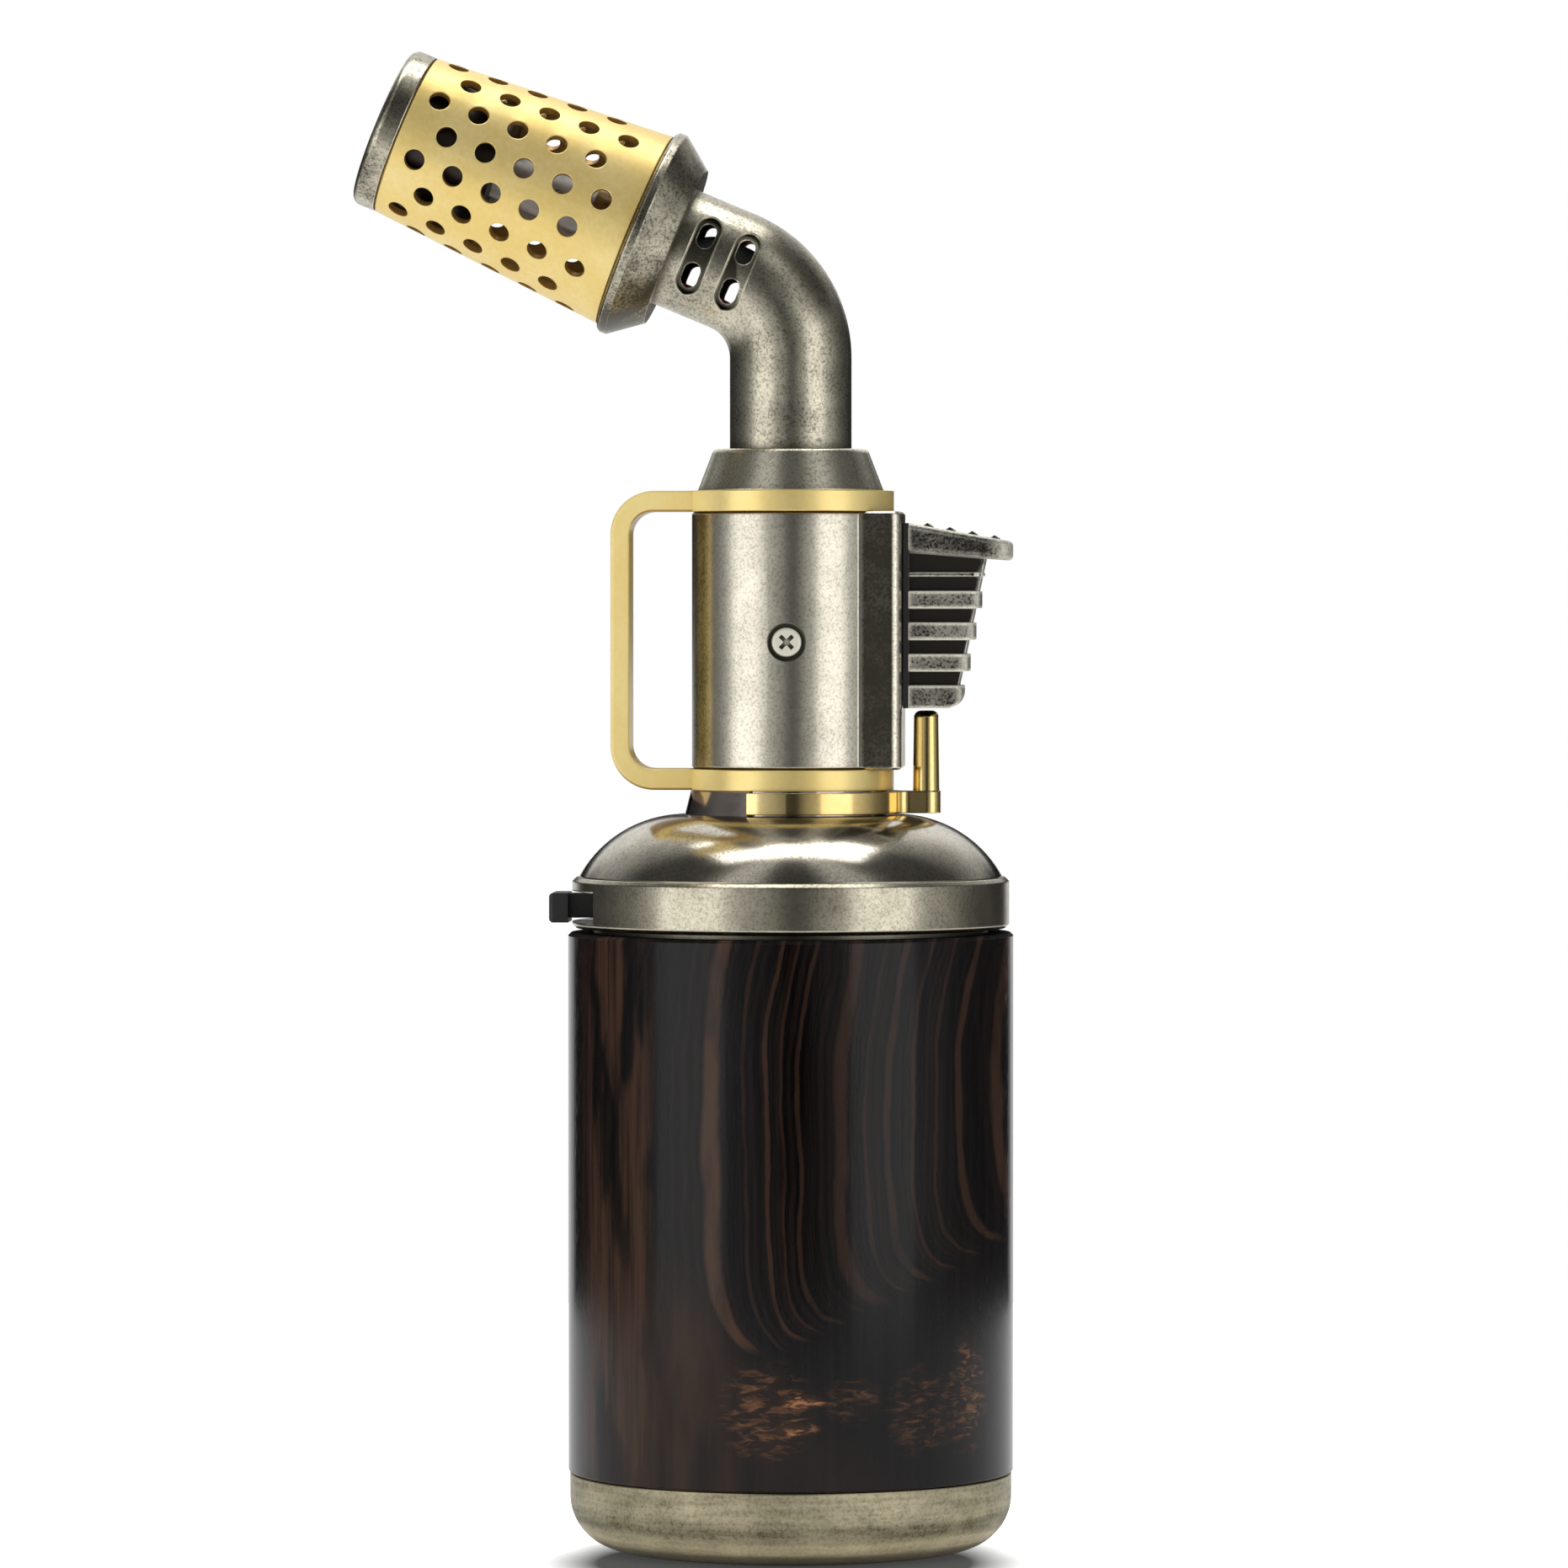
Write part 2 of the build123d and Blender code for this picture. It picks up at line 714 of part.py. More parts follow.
def make_top_collar():
    cone_rise = top_collar_height
    top_radius = top_collar_foot_radius - cone_rise * math.tan(math.radians(top_collar_cone_deg))
    collar = turned([
        (0, upper_ring_top),
        (top_collar_foot_radius, upper_ring_top),
        (top_radius, top_collar_top),
        (0, top_collar_top),
    ])
    rim = collar.faces().sort_by(Axis.Z)[-1].edges()
    collar = fillet(rim, top_collar_edge_radius)
    collar += rod(spigot_radius, upper_ring_top - top_collar_spigot_depth, upper_ring_top)
    seat = upper_ring_top - top_collar_seat_depth
    collar -= rod(elbow_radius, seat, top_collar_top + overrun)
    return collar - rod(elbow_bore, upper_ring_top - top_collar_spigot_depth - overrun, seat + overrun)


def make_elbow_tube():
    foot = upper_ring_top - top_collar_seat_depth
    run = rear_cap_start + rear_cap_seat
    elbow = bent_rod(elbow_radius, foot, run) + tight_corner()
    elbow -= bent_rod(elbow_bore, foot - overrun, run + overrun)
    pockets = Sketch()
    vents = Sketch()
    for step in range(pocket_count):
        centre = pocket_first + step * pocket_pitch
        pockets += Pos(0, centre) * SlotOverall(pocket_length, pocket_height)
        for side in (-1, 1):
            vents += Pos(side * vent_offset, centre) * SlotOverall(vent_length, vent_height)
    deep = elbow_radius + overrun
    pocket_cut = burner_frame() * extrude(Plane.YZ * pockets, deep, both=True)
    pocket_cut -= bent_rod(elbow_radius - pocket_depth, foot, run)
    vent_cut = burner_frame() * extrude(Plane.YZ * vents, deep, both=True)
    return elbow - pocket_cut - vent_cut


def make_rear_cap():
    ridge = rear_cap_start + rear_cap_cone_length
    web_end = rear_cap_web_end
    spigot_radius_out = shroud_rear_radius - shroud_wall - slip_gap
    spigot_tip = shroud_start + rear_cap_spigot_length
    taper = (shroud_rear_radius - shroud_front_radius) / shroud_length * rear_cap_spigot_length
    tip_radius = spigot_radius_out - taper
    cap = turned([
        (elbow_radius, rear_cap_start),
        (rear_cap_back_radius, rear_cap_start),
        (rear_cap_ridge_radius, ridge),
        (rear_cap_ridge_radius, shroud_start - rear_cap_rim_bevel),
        (rear_cap_ridge_radius - rear_cap_rim_bevel, shroud_start),
        (spigot_radius_out, shroud_start),
        (tip_radius, spigot_tip),
        (tip_radius - rear_cap_spigot_wall, spigot_tip),
        (tip_radius - rear_cap_spigot_wall, web_end),
        (elbow_bore, web_end),
        (elbow_bore, rear_cap_start + rear_cap_seat),
        (elbow_radius, rear_cap_start + rear_cap_seat),
    ])
    return burner_frame() * cap


def make_heat_shroud():
    narrowing = (shroud_rear_radius - shroud_front_radius) / shroud_length * seam_width
    shroud = turned([
        (shroud_rear_radius - shroud_wall, shroud_start),
        (shroud_rear_radius - seam_depth, shroud_start),
        (shroud_rear_radius - seam_depth, shroud_start + seam_width),
        (shroud_rear_radius - narrowing, shroud_start + seam_width),
        (shroud_front_radius + narrowing, shroud_end - seam_width),
        (shroud_front_radius - seam_depth, shroud_end - seam_width),
        (shroud_front_radius - seam_depth, shroud_end),
        (shroud_front_radius - shroud_wall, shroud_end),
    ])
    drill = Rot(0, 90, 0) * extrude(Circle(shroud_hole_radius), shroud_rear_radius + overrun)
    holes = []
    for row in range(shroud_row_count):
        turn = shroud_row_phase_deg + row * 360 / shroud_row_count
        first = shroud_start + shroud_hole_first + (row % 2) * shroud_row_shift
        for step in range(shroud_holes_in_row):
            holes.append(Rot(0, 0, turn) * Pos(0, 0, first + step * shroud_hole_pitch) * drill)
    return burner_frame() * (shroud - holes)


def make_front_ring():
    shroud_bore = shroud_front_radius - shroud_wall
    spigot_foot = shroud_end - front_ring_spigot_length
    ring = turned([
        (cup_radius + pin_gap, spigot_foot),
        (shroud_bore - pin_gap, spigot_foot),
        (shroud_bore - pin_gap, shroud_end),
        (front_ring_radius, shroud_end),
        (front_ring_radius, burner_end),
        (front_ring_bore_radius, burner_end),
        (front_ring_bore_radius, shroud_end),
        (cup_radius + pin_gap, shroud_end),
    ])
    lips = ring.edges().filter_by(GeomType.CIRCLE).group_by(Axis.Z)[-1]
    return burner_frame() * fillet(lips, front_ring_round)


def make_jet_holder():
    start = rear_cap_start + rear_cap_seat - rear_cap_web
    flange_start = rear_cap_web_end
    flange_radius = shroud_rear_radius - shroud_wall - rear_cap_spigot_wall - holder_flange_gap
    flange_end = flange_start + holder_flange
    holder = turned([
        (0, start - holder_barb_length),
        (stem_nozzle_radius, start - holder_barb_length),
        (stem_nozzle_radius, start),
        (elbow_bore - running_gap, start),
        (elbow_bore - running_gap, flange_start),
        (flange_radius, flange_start),
        (flange_radius, flange_end),
        (holder_boss_radius, flange_end),
        (holder_boss_radius, holder_boss_end),
        (mixer_bore, holder_boss_end),
        (mixer_bore, holder_boss_end + holder_spigot_length),
        (0, holder_boss_end + holder_spigot_length),
    ])
    jet_tip = holder_boss_end + holder_spigot_length + jet_proud
    holder -= rod(jet_radius, jet_tip - jet_length, jet_tip)
    holder -= rod(stem_bore_radius, start - holder_barb_length - overrun, jet_tip)
    wire_hole = rod(insulator_radius + pin_gap, start - overrun, holder_boss_end + overrun)
    return burner_frame() * (holder - Pos(-wire_offset_y, wire_offset_x, 0) * wire_hole)


def make_gas_jet():
    tip = holder_boss_end + holder_spigot_length + jet_proud
    foot = tip - jet_length
    shoulder = tip - jet_proud
    jet = turned([
        (jet_orifice_radius, foot),
        (jet_radius, foot),
        (jet_radius, shoulder),
        (jet_tip_radius, tip),
        (jet_orifice_radius, tip),
    ])
    return burner_frame() * jet


def make_mixing_tube():
    mixer = tube(mixer_radius, mixer_bore, holder_boss_end, holder_boss_end + mixer_length)
    drill = Rot(0, 90, 0) * extrude(Circle(mixer_port_radius), mixer_radius + overrun)
    level = holder_boss_end + mixer_port_offset
    for step in range(mixer_port_count):
        mixer -= Rot(0, 0, step * 360 / mixer_port_count) * Pos(0, 0, level) * drill
    return burner_frame() * mixer


def make_flame_cup():
    inner = cup_radius - cup_wall
    cup = turned([
        (mixer_radius, cup_start),
        (cup_radius, cup_start),
        (cup_radius, shroud_end),
        (inner, shroud_end),
        (inner, cup_start + cup_back),
        (mixer_radius, cup_start + cup_back),
    ])
    wire_hole = rod(insulator_radius, cup_start - overrun, cup_start + cup_back + overrun)
    return burner_frame() * (cup - Pos(-wire_offset_y, wire_offset_x, 0) * wire_hole)


def make_flame_holder():
    low = cup_start + flame_holder_offset
    high = low + flame_holder_thickness
    disc = rod(cup_radius - cup_wall, low, high)
    drill = rod(flame_hole_radius, low - overrun, high + overrun)
    circle_radius = math.hypot(wire_offset_x, wire_offset_y)
    wire_turn = math.degrees(math.atan2(wire_offset_x, -wire_offset_y))
    disc -= drill
    for step in range(flame_hole_count):
        turn = wire_turn + step * 360 / flame_hole_count
        disc -= Rot(0, 0, turn) * Pos(circle_radius, 0, 0) * drill
    return burner_frame() * disc


def make_ignition_wire():
    level = piezo_bottom + wire_exit_height
    upright_start = level + wire_bend_radius
    run = rear_cap_start + rear_cap_seat
    wire = bent_rod(wire_radius, upright_start, run, wire_offset_x, wire_offset_y)
    corner_x = wire_offset_x + wire_bend_radius
    corner_axis = Axis((corner_x, 0, upright_start), (0, -1, 0))
    section = Pos(wire_offset_x, wire_offset_y, upright_start) * Circle(wire_radius)
    corner = revolve(section, corner_axis, 90)
    lead = Pos(corner_x, wire_offset_y, level) * Rot(0, 90, 0) * extrude(
        Circle(wire_radius), piezo_back - corner_x
    )
    return wire + corner + lead


def make_electrode_insulator():
    start = rear_cap_start + rear_cap_seat
    body = tube(insulator_radius, electrode_radius, start, start + insulator_length)
    return burner_frame() * (Pos(-wire_offset_y, wire_offset_x, 0) * body)


def make_electrode():
    tip_start = rear_cap_start + rear_cap_seat + insulator_length
    foot = tip_start - electrode_depth
    bend_level = tip_start + electrode_reach
    straight = rod(electrode_radius, foot, bend_level)
    bend_axis = Axis((electrode_bend_radius, 0, bend_level), (0, 1, 0))
    bend = revolve(Pos(0, 0, bend_level) * Circle(electrode_radius), bend_axis, electrode_tip_deg)
    turn = math.radians(electrode_tip_deg)
    end = Pos(
        electrode_bend_radius * (1 - math.cos(turn)),
        0,
        bend_level + electrode_bend_radius * math.sin(turn),
    )
    tip = end * Rot(0, electrode_tip_deg, 0) * extrude(Circle(electrode_radius), electrode_tip_length)
    inward = math.degrees(math.atan2(-wire_offset_x, wire_offset_y))
    place = Pos(-wire_offset_y, wire_offset_x, 0) * Rot(0, 0, inward)
    return burner_frame() * (place * (straight + bend + tip))


def make_gas_hose():
    """Hose that leans to the outer side of the bend, as a stiff tube does, and comes back to the jet."""
    start = stem_flange_level + stem_flange_thickness + stem_nozzle_length - hose_cover
    end = rear_cap_start + rear_cap_seat - rear_cap_web
    lean_low = start + hose_shift_start
    lean_high = lean_low + hose_shift_rise
    lean_middle = (hose_shift / 2, (lean_low + lean_high) / 2)
    rise = Line((0, start), (0, lean_low))
    lean_out = TangentArc((0, lean_low), lean_middle, tangent=(0, 1))
    lean_on = TangentArc(lean_middle, (hose_shift, lean_high), tangent=lean_out % 1)
    upright = Line((hose_shift, lean_high), (hose_shift, bend_start))
    bend_centre = (-elbow_bend_radius, bend_start)
    bend = CenterArc(bend_centre, elbow_bend_radius + hose_shift, 0, elbow_turn_deg)
    turn = math.radians(elbow_turn_deg)
    forward = Vector(-math.sin(turn), math.cos(turn))
    above = Vector(forward.Y, -forward.X)
    run_end = bend @ 1 + forward * hose_return_start
    back_end = run_end + forward * hose_return_run - above * hose_shift
    back_middle = (run_end + back_end) * 0.5
    onward = Line(bend @ 1, run_end)
    back_in = TangentArc(run_end, back_middle, tangent=forward)
    back_on = TangentArc(back_middle, back_end, tangent=back_in % 1)
    last = Line(back_end, back_end + forward * (end - hose_return_start - hose_return_run))
    route = Plane.XZ * (rise + lean_out + lean_on + upright + bend + onward + back_in + back_on + last)
    section = Pos(0, 0, start) * (Circle(hose_radius) - Circle(hose_bore))
    return sweep(section, path=route)


def make_gas_valve_body():
    body = rod(valve_barrel_radius, valve_bottom, valve_seat)
    hexagon = RegularPolygon(valve_flats / 2, 6, major_radius=False)
    body += Pos(0, 0, valve_seat) * extrude(hexagon, valve_flange)
    body += rod(valve_turret_radius, valve_flange_top, valve_turret_top)
    body -= rod(valve_cavity_radius, valve_cavity_floor, valve_cavity_top)
    body -= rod(stem_radius + pin_gap, valve_cavity_top - overrun, valve_turret_top + overrun)
    return body - rod(valve_inlet_radius, valve_bottom - overrun, valve_cavity_floor + overrun)


def make_valve_seal():
    return tube(valve_flats / 2, valve_barrel_radius, tank_top, valve_seat)


def make_valve_stem():
    pad_low = valve_cavity_floor + running_gap
    pad_top = pad_low + stem_pad_thickness
    flange_top = stem_flange_level + stem_flange_thickness
    nozzle_top = flange_top + stem_nozzle_length
    stem = turned([
        (0, pad_low),
        (stem_pad_radius, pad_low),
        (stem_pad_radius, pad_top),
        (stem_radius, pad_top),
        (stem_radius, stem_flange_level),
        (stem_flange_radius, stem_flange_level),
        (stem_flange_radius, flange_top),
        (stem_nozzle_radius, flange_top),
        (stem_nozzle_radius, nozzle_top),
        (0, nozzle_top),
    ])
    port_floor = valve_cavity_top - stem_port_drop
    stem -= rod(stem_bore_radius, port_floor, nozzle_top + overrun)
    port_level = port_floor + stem_bore_radius
    return stem - side_cut(stem_bore_radius, 0, port_level, -stem_pad_radius, stem_pad_radius)


def make_valve_spring():
    low = valve_cavity_floor + running_gap + stem_pad_thickness
    mean_radius = (stem_radius + valve_cavity_radius) / 2
    return spring(mean_radius, valve_spring_wire, valve_spring_turns, low, valve_cavity_top)


def make_flame_adjuster():
    high = adjuster_level + adjuster_thickness
    arm_end = shoulder_radius + running_gap
    ring = rod(adjuster_ring_radius, adjuster_level, high)
    arm = block(-arm_end - overrun, 0, adjuster_arm_half_width, adjuster_level, high)
    head = block(
        -adjuster_head_reach,
        -arm_end,
        adjuster_head_half_width,
        adjuster_level - adjuster_head_drop,
        high + adjuster_head_rise,
    )
    outer = head.faces().sort_by(Axis.X)[0].edges()
    head = fillet(outer, adjuster_head_round)
    grip_pitch = 2 * adjuster_head_half_width / (adjuster_grip_count + 1)
    for step in range(adjuster_grip_count):
        y = (step + 1) * grip_pitch - adjuster_head_half_width
        groove = block(
            -adjuster_head_reach - overrun,
            -adjuster_head_reach + adjuster_grip_depth,
            adjuster_grip_width / 2,
            adjuster_level - overrun,
            high + overrun,
        )
        head -= Pos(0, y, 0) * groove
    bore = rod(valve_turret_radius + slip_gap, adjuster_level - overrun, high + overrun)
    return ring + arm + head - bore


def make_valve_rocker():
    bottom = rocker_top - rocker_thickness
    front = rocker_pin_x + rocker_front_reach
    tail = rocker_pin_x - rocker_tail_reach
    lever = block(tail, front, rocker_half_width, bottom, rocker_top)
    half = rocker_half_width
    eye = side_cut(rocker_eye_radius, rocker_pin_x, rocker_pin_level, -half, half)
    nose = block(
        -rocker_nose_half_length,
        rocker_nose_half_length,
        rocker_half_width,
        rocker_top,
        rocker_top + rocker_nose_rise,
    )
    fork = rod(stem_radius + running_gap, bottom - overrun, rocker_top + overrun)
    mouth = block(tail - overrun, 0, stem_radius + running_gap, bottom - overrun, rocker_top + overrun)
    reach = rocker_half_width + overrun
    bore = side_cut(rocker_pin_radius + pin_gap, rocker_pin_x, rocker_pin_level, -reach, reach)
    return lever + eye + nose - fork - mouth - bore


def make_rocker_pin():
    half = rocker_pin_half_length
    return side_cut(rocker_pin_radius, rocker_pin_x, rocker_pin_level, -half, half)


def make_piezo_body():
    body = block(piezo_back, piezo_front, piezo_half_width, piezo_bottom, piezo_top)
    body = fillet(body.edges().filter_by(Axis.Z), piezo_corner)
    cavity = block(
        piezo_back + piezo_shell,
        piezo_front - piezo_shell,
        piezo_half_width - piezo_shell,
        piezo_bottom + piezo_floor,
        piezo_top + overrun,
    )
    return body - cavity


def make_piezo_plunger():
    inset = piezo_shell + running_gap
    plunger = block(
        piezo_back + inset,
        piezo_front - inset,
        piezo_half_width - inset,
        plunger_bottom,
        plunger_top,
    )
    return fillet(plunger.edges().filter_by(Axis.Z), plunger_corner)


def make_piezo_spring():
    mean_radius = (piezo_front - piezo_back) / 2 - piezo_shell - running_gap - piezo_spring_wire
    coil = spring(
        mean_radius, piezo_spring_wire, piezo_spring_turns, piezo_bottom + piezo_floor, plunger_bottom
    )
    return Pos((piezo_back + piezo_front) / 2, 0, 0) * coil


def thumb_slab(depth, half_width, low, high):
    """Slab of the trigger between two heights: square at the back, round at the front corners."""
    plan = Pos(trigger_back + depth / 2, 0) * Rectangle(depth, 2 * half_width)
    plan = fillet(plan.vertices().sort_by(Axis.X)[-2:], trigger_corner_radius)
    return Pos(0, 0, low) * extrude(plan, high - low)


def trigger_side(points, half_width):
    """Side outline of the trigger, points as (depth from its back, height), drawn out both ways."""
    outline = Polyline(*[(trigger_back + depth, level) for depth, level in points], close=True)
    return extrude(Plane.XZ * make_face(outline), half_width, both=True)


def make_trigger_plate():
    tip_top = trigger_top - trigger_plate_slope
    side = trigger_side(
        [
            (0, trigger_top),
            (trigger_plate_reach, tip_top),
            (trigger_plate_reach, tip_top - trigger_plate_tip),
            (0, trigger_top - trigger_plate_thickness),
        ],
        trigger_half_width,
    )
    corners = side.edges().filter_by(Axis.Z).sort_by(Axis.X)[-2:]
    side = fillet(corners, trigger_corner_radius)
    tip_edges = side.edges().filter_by_position(
        Axis.X, trigger_back + trigger_plate_reach / 2, trigger_back + 2 * trigger_plate_reach
    )
    round_edges = tip_edges.filter_by(GeomType.LINE, reverse=True) + tip_edges.filter_by(Axis.Y)
    return fillet(round_edges, trigger_plate_round)


def make_grip_ridges():
    slope = trigger_plate_slope / trigger_plate_reach
    ridges = Part()
    for step in range(grip_ridge_count):
        start = grip_ridge_first + step * grip_ridge_pitch - grip_ridge_length / 2
        end = start + grip_ridge_length
        sunk = grip_ridge_height
        ridges += trigger_side(
            [
                (start, trigger_top - start * slope - sunk),
                (start, trigger_top - start * slope),
                ((start + end) / 2, trigger_top - start * slope + grip_ridge_height),
                (end, trigger_top - end * slope + grip_ridge_height / 2),
                (end, trigger_top - end * slope - sunk),
            ],
            grip_ridge_half_width,
        )
    return ridges


def make_trigger():
    under_plate = trigger_top - trigger_plate_thickness
    core = trigger_side(
        [
            (0, under_plate + running_gap),
            (trigger_core_top_depth, under_plate),
            (trigger_core_foot_depth, trigger_bottom + rib_foot_round / 2),
            (trigger_core_foot_depth - rib_foot_round / 2, trigger_bottom),
            (0, trigger_bottom),
        ],
        trigger_half_width - trigger_core_inset,
    )
    trigger = make_trigger_plate() + make_grip_ridges() + core
    lip_top = under_plate - trigger_lip_drop + trigger_lip_height
    trigger += thumb_slab(
        trigger_lip_depth, trigger_half_width - trigger_lip_inset, lip_top - trigger_lip_height, lip_top
    )
    for step in range(rib_count):
        high = trigger_top - rib_drop - step * rib_pitch
        depth = rib_depth - step * rib_step
        if step < rib_count - 1:
            trigger += thumb_slab(depth, trigger_half_width, high - rib_height, high)
            continue
        foot = thumb_slab(depth, trigger_half_width, trigger_bottom, high)
        front_x = trigger_back + depth
        middle = (high + trigger_bottom) / 2
        keep = Pos(front_x - depth / 2, middle) * Rectangle(depth, high - trigger_bottom)
        lowest = keep.vertices().sort_by(Axis.Y)[:2].sort_by(Axis.X)[-1]
        keep = fillet(lowest, rib_foot_round)
        trigger += foot & extrude(Plane.XZ * keep, trigger_half_width, both=True)
    inner_top = trigger_core_top_depth - trigger_core_inset - trigger_wall
    hollow = trigger_side(
        [
            (-overrun, under_plate - trigger_wall),
            (inner_top, under_plate - trigger_wall),
            (trigger_core_foot_depth - trigger_wall, trigger_bottom),
            (trigger_core_foot_depth - trigger_wall, trigger_bottom - overrun),
            (-overrun, trigger_bottom - overrun),
        ],
        trigger_half_width - trigger_wall,
    )
    return trigger - hollow + make_catch_lug()


def make_catch_lug():
    notch_low = post_top - catch_drop + trigger_travel
    low = notch_low + (catch_height - catch_lug_thickness) / 2
    outer = trigger_half_width - trigger_wall
    lug = Pos(0, outer - catch_lug_width / 2, 0) * block(
        trigger_back,
        trigger_back + trigger_core_foot_depth - trigger_wall,
        catch_lug_width / 2,
        low,
        low + catch_lug_thickness,
    )
    return lug


def make_trigger_slider():
    key_top = trigger_top - slider_key_drop
    key_low = key_top - slider_key_height
    slider = block(slider_front, trigger_back, trigger_half_width, trigger_bottom, trigger_top)
    mouth_top = post_top + trigger_travel + running_gap
    slider -= block(
        slider_front - overrun,
        trigger_back + overrun,
        trigger_half_width - trigger_wall,
        trigger_bottom - overrun,
        mouth_top,
    )
    plug_half_width = trigger_half_width - trigger_wall - slip_gap
    plug_top = trigger_top - trigger_plate_thickness - trigger_wall - slip_gap
    plug_low = plug_top - slider_plug_height
    slider += block(
        trigger_back, trigger_back + slider_plug_depth, plug_half_width, plug_low, plug_top
    )
    wing_front = casing_pocket_front - running_gap
    wing_back = wing_front - slider_wing_thickness
    slider += block(wing_back, slider_front, slider_key_half_width, key_low, key_top)
    slider += block(wing_back, wing_front, slider_wing_half_width, key_low, key_top)
    foot_low = plunger_top + running_gap
    foot_top = foot_low + slider_foot_thickness
    slider += block(piezo_back, wing_back, slider_key_half_width, foot_low, foot_top)
    leg_back = piezo_front + running_gap
    leg_front = leg_back + slider_leg_thickness
    front_drop = rocker_turn * (rocker_front_reach - slider_leg_half_width / 2)
    leg_low = rocker_top + trigger_travel - front_drop + running_gap
    return slider + block(leg_back, leg_front, slider_leg_half_width, leg_low, foot_low)


def make_lock_lever():
    height = lever_top - lever_bottom
    band_outline = Pos((lever_bore + lever_band_radius) / 2, (lever_bottom + lever_top) / 2) * Rectangle(
        lever_band_radius - lever_bore, height
    )
    sweep_deg = lever_band_end_deg - lever_band_start_deg
    band = Rot(0, 0, lever_band_start_deg) * revolve(Plane.XZ * band_outline, Axis.Z, sweep_deg)
    arm_plan = Pos(lever_reach / 2, 0) * Rectangle(lever_reach, 2 * lever_post_half_width)
    plan = Circle(lever_band_radius) + arm_plan
    roots = [v for v in plan.vertices() if 0 < v.X < lever_reach - overrun]
    plan = fillet(roots, lever_root_radius)
    tips = plan.vertices().sort_by(Axis.X)[-2:]
    plan = fillet(tips, lever_post_roundness * lever_post_side())
    arm = Pos(0, 0, lever_bottom) * extrude(plan, height)
    arm -= rod(lever_bore, lever_bottom - overrun, lever_top + overrun)
    arm = arm & block(0, lever_reach + overrun, lever_band_radius, lever_bottom, lever_top)
    lever = band + arm + make_lever_post()
    notch_low = post_top - catch_drop
    notch = Pos(0, lever_post_half_width + overrun - (catch_depth + overrun) / 2, 0) * block(
        lever_post_inner - overrun,
        lever_reach + overrun,
        (catch_depth + overrun) / 2,
        notch_low,
        notch_low + catch_height,
    )
    return lever - notch


def lever_post_side():
    return min(lever_reach - lever_post_inner, 2 * lever_post_half_width)


def lever_post_plan(inset):
    length = lever_reach - lever_post_inner - 2 * inset
    width = 2 * (lever_post_half_width - inset)
    return RectangleRounded(length, width, lever_post_roundness * (lever_post_side() - 2 * inset))


def make_lever_post():
    head_inset = lever_post_ledge + lever_post_side() * lever_post_draft
    rise = post_top - lever_bottom
    post = loft([lever_post_plan(lever_post_ledge), Pos(0, 0, rise) * lever_post_plan(head_inset)])
    head = post.faces().sort_by(Axis.Z)[-1]
    post = fillet(head.edges(), lever_post_dome * (lever_post_side() - 2 * head_inset))
    return Pos((lever_reach + lever_post_inner) / 2, 0, lever_bottom) * post


def make_filler_valve_body():
    body = rod(filler_flange_radius, filler_face, recess_ceiling)
    body += rod(filler_radius, recess_ceiling, filler_top)
    body -= rod(filler_cavity_radius, filler_cavity_floor, filler_cavity_top)
    body -= rod(filler_port_radius, filler_face - overrun, filler_face + filler_port_depth)
    return body - rod(filler_pin_radius + pin_gap, filler_face, filler_top + overrun)


def make_filler_seal():
    return tube(filler_seal_radius, filler_radius, base_floor - filler_seal_thickness, base_floor)


def make_filler_stem():
    pad_low = filler_cavity_floor + slip_gap
    return rod(filler_pin_radius, filler_face + filler_port_depth, pad_low) + rod(
        filler_pad_radius, pad_low, pad_low + filler_pad_thickness
    )


def make_filler_spring():
    low = filler_cavity_floor + slip_gap + filler_pad_thickness
    mean_radius = filler_pad_radius - 2 * filler_spring_wire
    return spring(mean_radius, filler_spring_wire, filler_spring_turns, low, filler_cavity_top)


nodes = {
    "base_cup": make_base_cup,
    "wood_sleeve": make_wood_sleeve,
    "fuel_tank": make_fuel_tank,
    "shoulder_ring": make_shoulder_ring,
    "dome": make_dome,
    "lock_collar": make_lock_collar,
    "neck_nut": make_neck_nut,
    "handle": make_handle,
    "neck_casing": make_neck_casing,
    "frame_screws": make_frame_screws,
    "inner_frame": make_inner_frame,
    "top_collar": make_top_collar,
    "elbow_tube": make_elbow_tube,
    "rear_cap": make_rear_cap,
    "heat_shroud": make_heat_shroud,
    "front_ring": make_front_ring,
    "jet_holder": make_jet_holder,
    "gas_jet": make_gas_jet,
    "mixing_tube": make_mixing_tube,
    "flame_cup": make_flame_cup,
    "flame_holder": make_flame_holder,
    "ignition_wire": make_ignition_wire,
    "electrode_insulator": make_electrode_insulator,
    "electrode": make_electrode,
    "gas_hose": make_gas_hose,
    "gas_valve_body": make_gas_valve_body,
    "valve_seal": make_valve_seal,
    "valve_stem": make_valve_stem,
    "valve_spring": make_valve_spring,
    "flame_adjuster": make_flame_adjuster,
    "valve_rocker": make_valve_rocker,
    "rocker_pin": make_rocker_pin,
    "piezo_body": make_piezo_body,
    "piezo_plunger": make_piezo_plunger,
    "piezo_spring": make_piezo_spring,
    "trigger": make_trigger,
    "trigger_slider": make_trigger_slider,
    "lock_lever": make_lock_lever,
    "filler_valve_body": make_filler_valve_body,
    "filler_seal": make_filler_seal,
    "filler_stem": make_filler_stem,
    "filler_spring": make_filler_spring,
}

for name, make in nodes.items():
    piece = make()
    export_step(piece, f"parts/{name}.step")
    print(f"{name}: {len(piece.solids())} solid, {piece.volume:.2f} mm3")
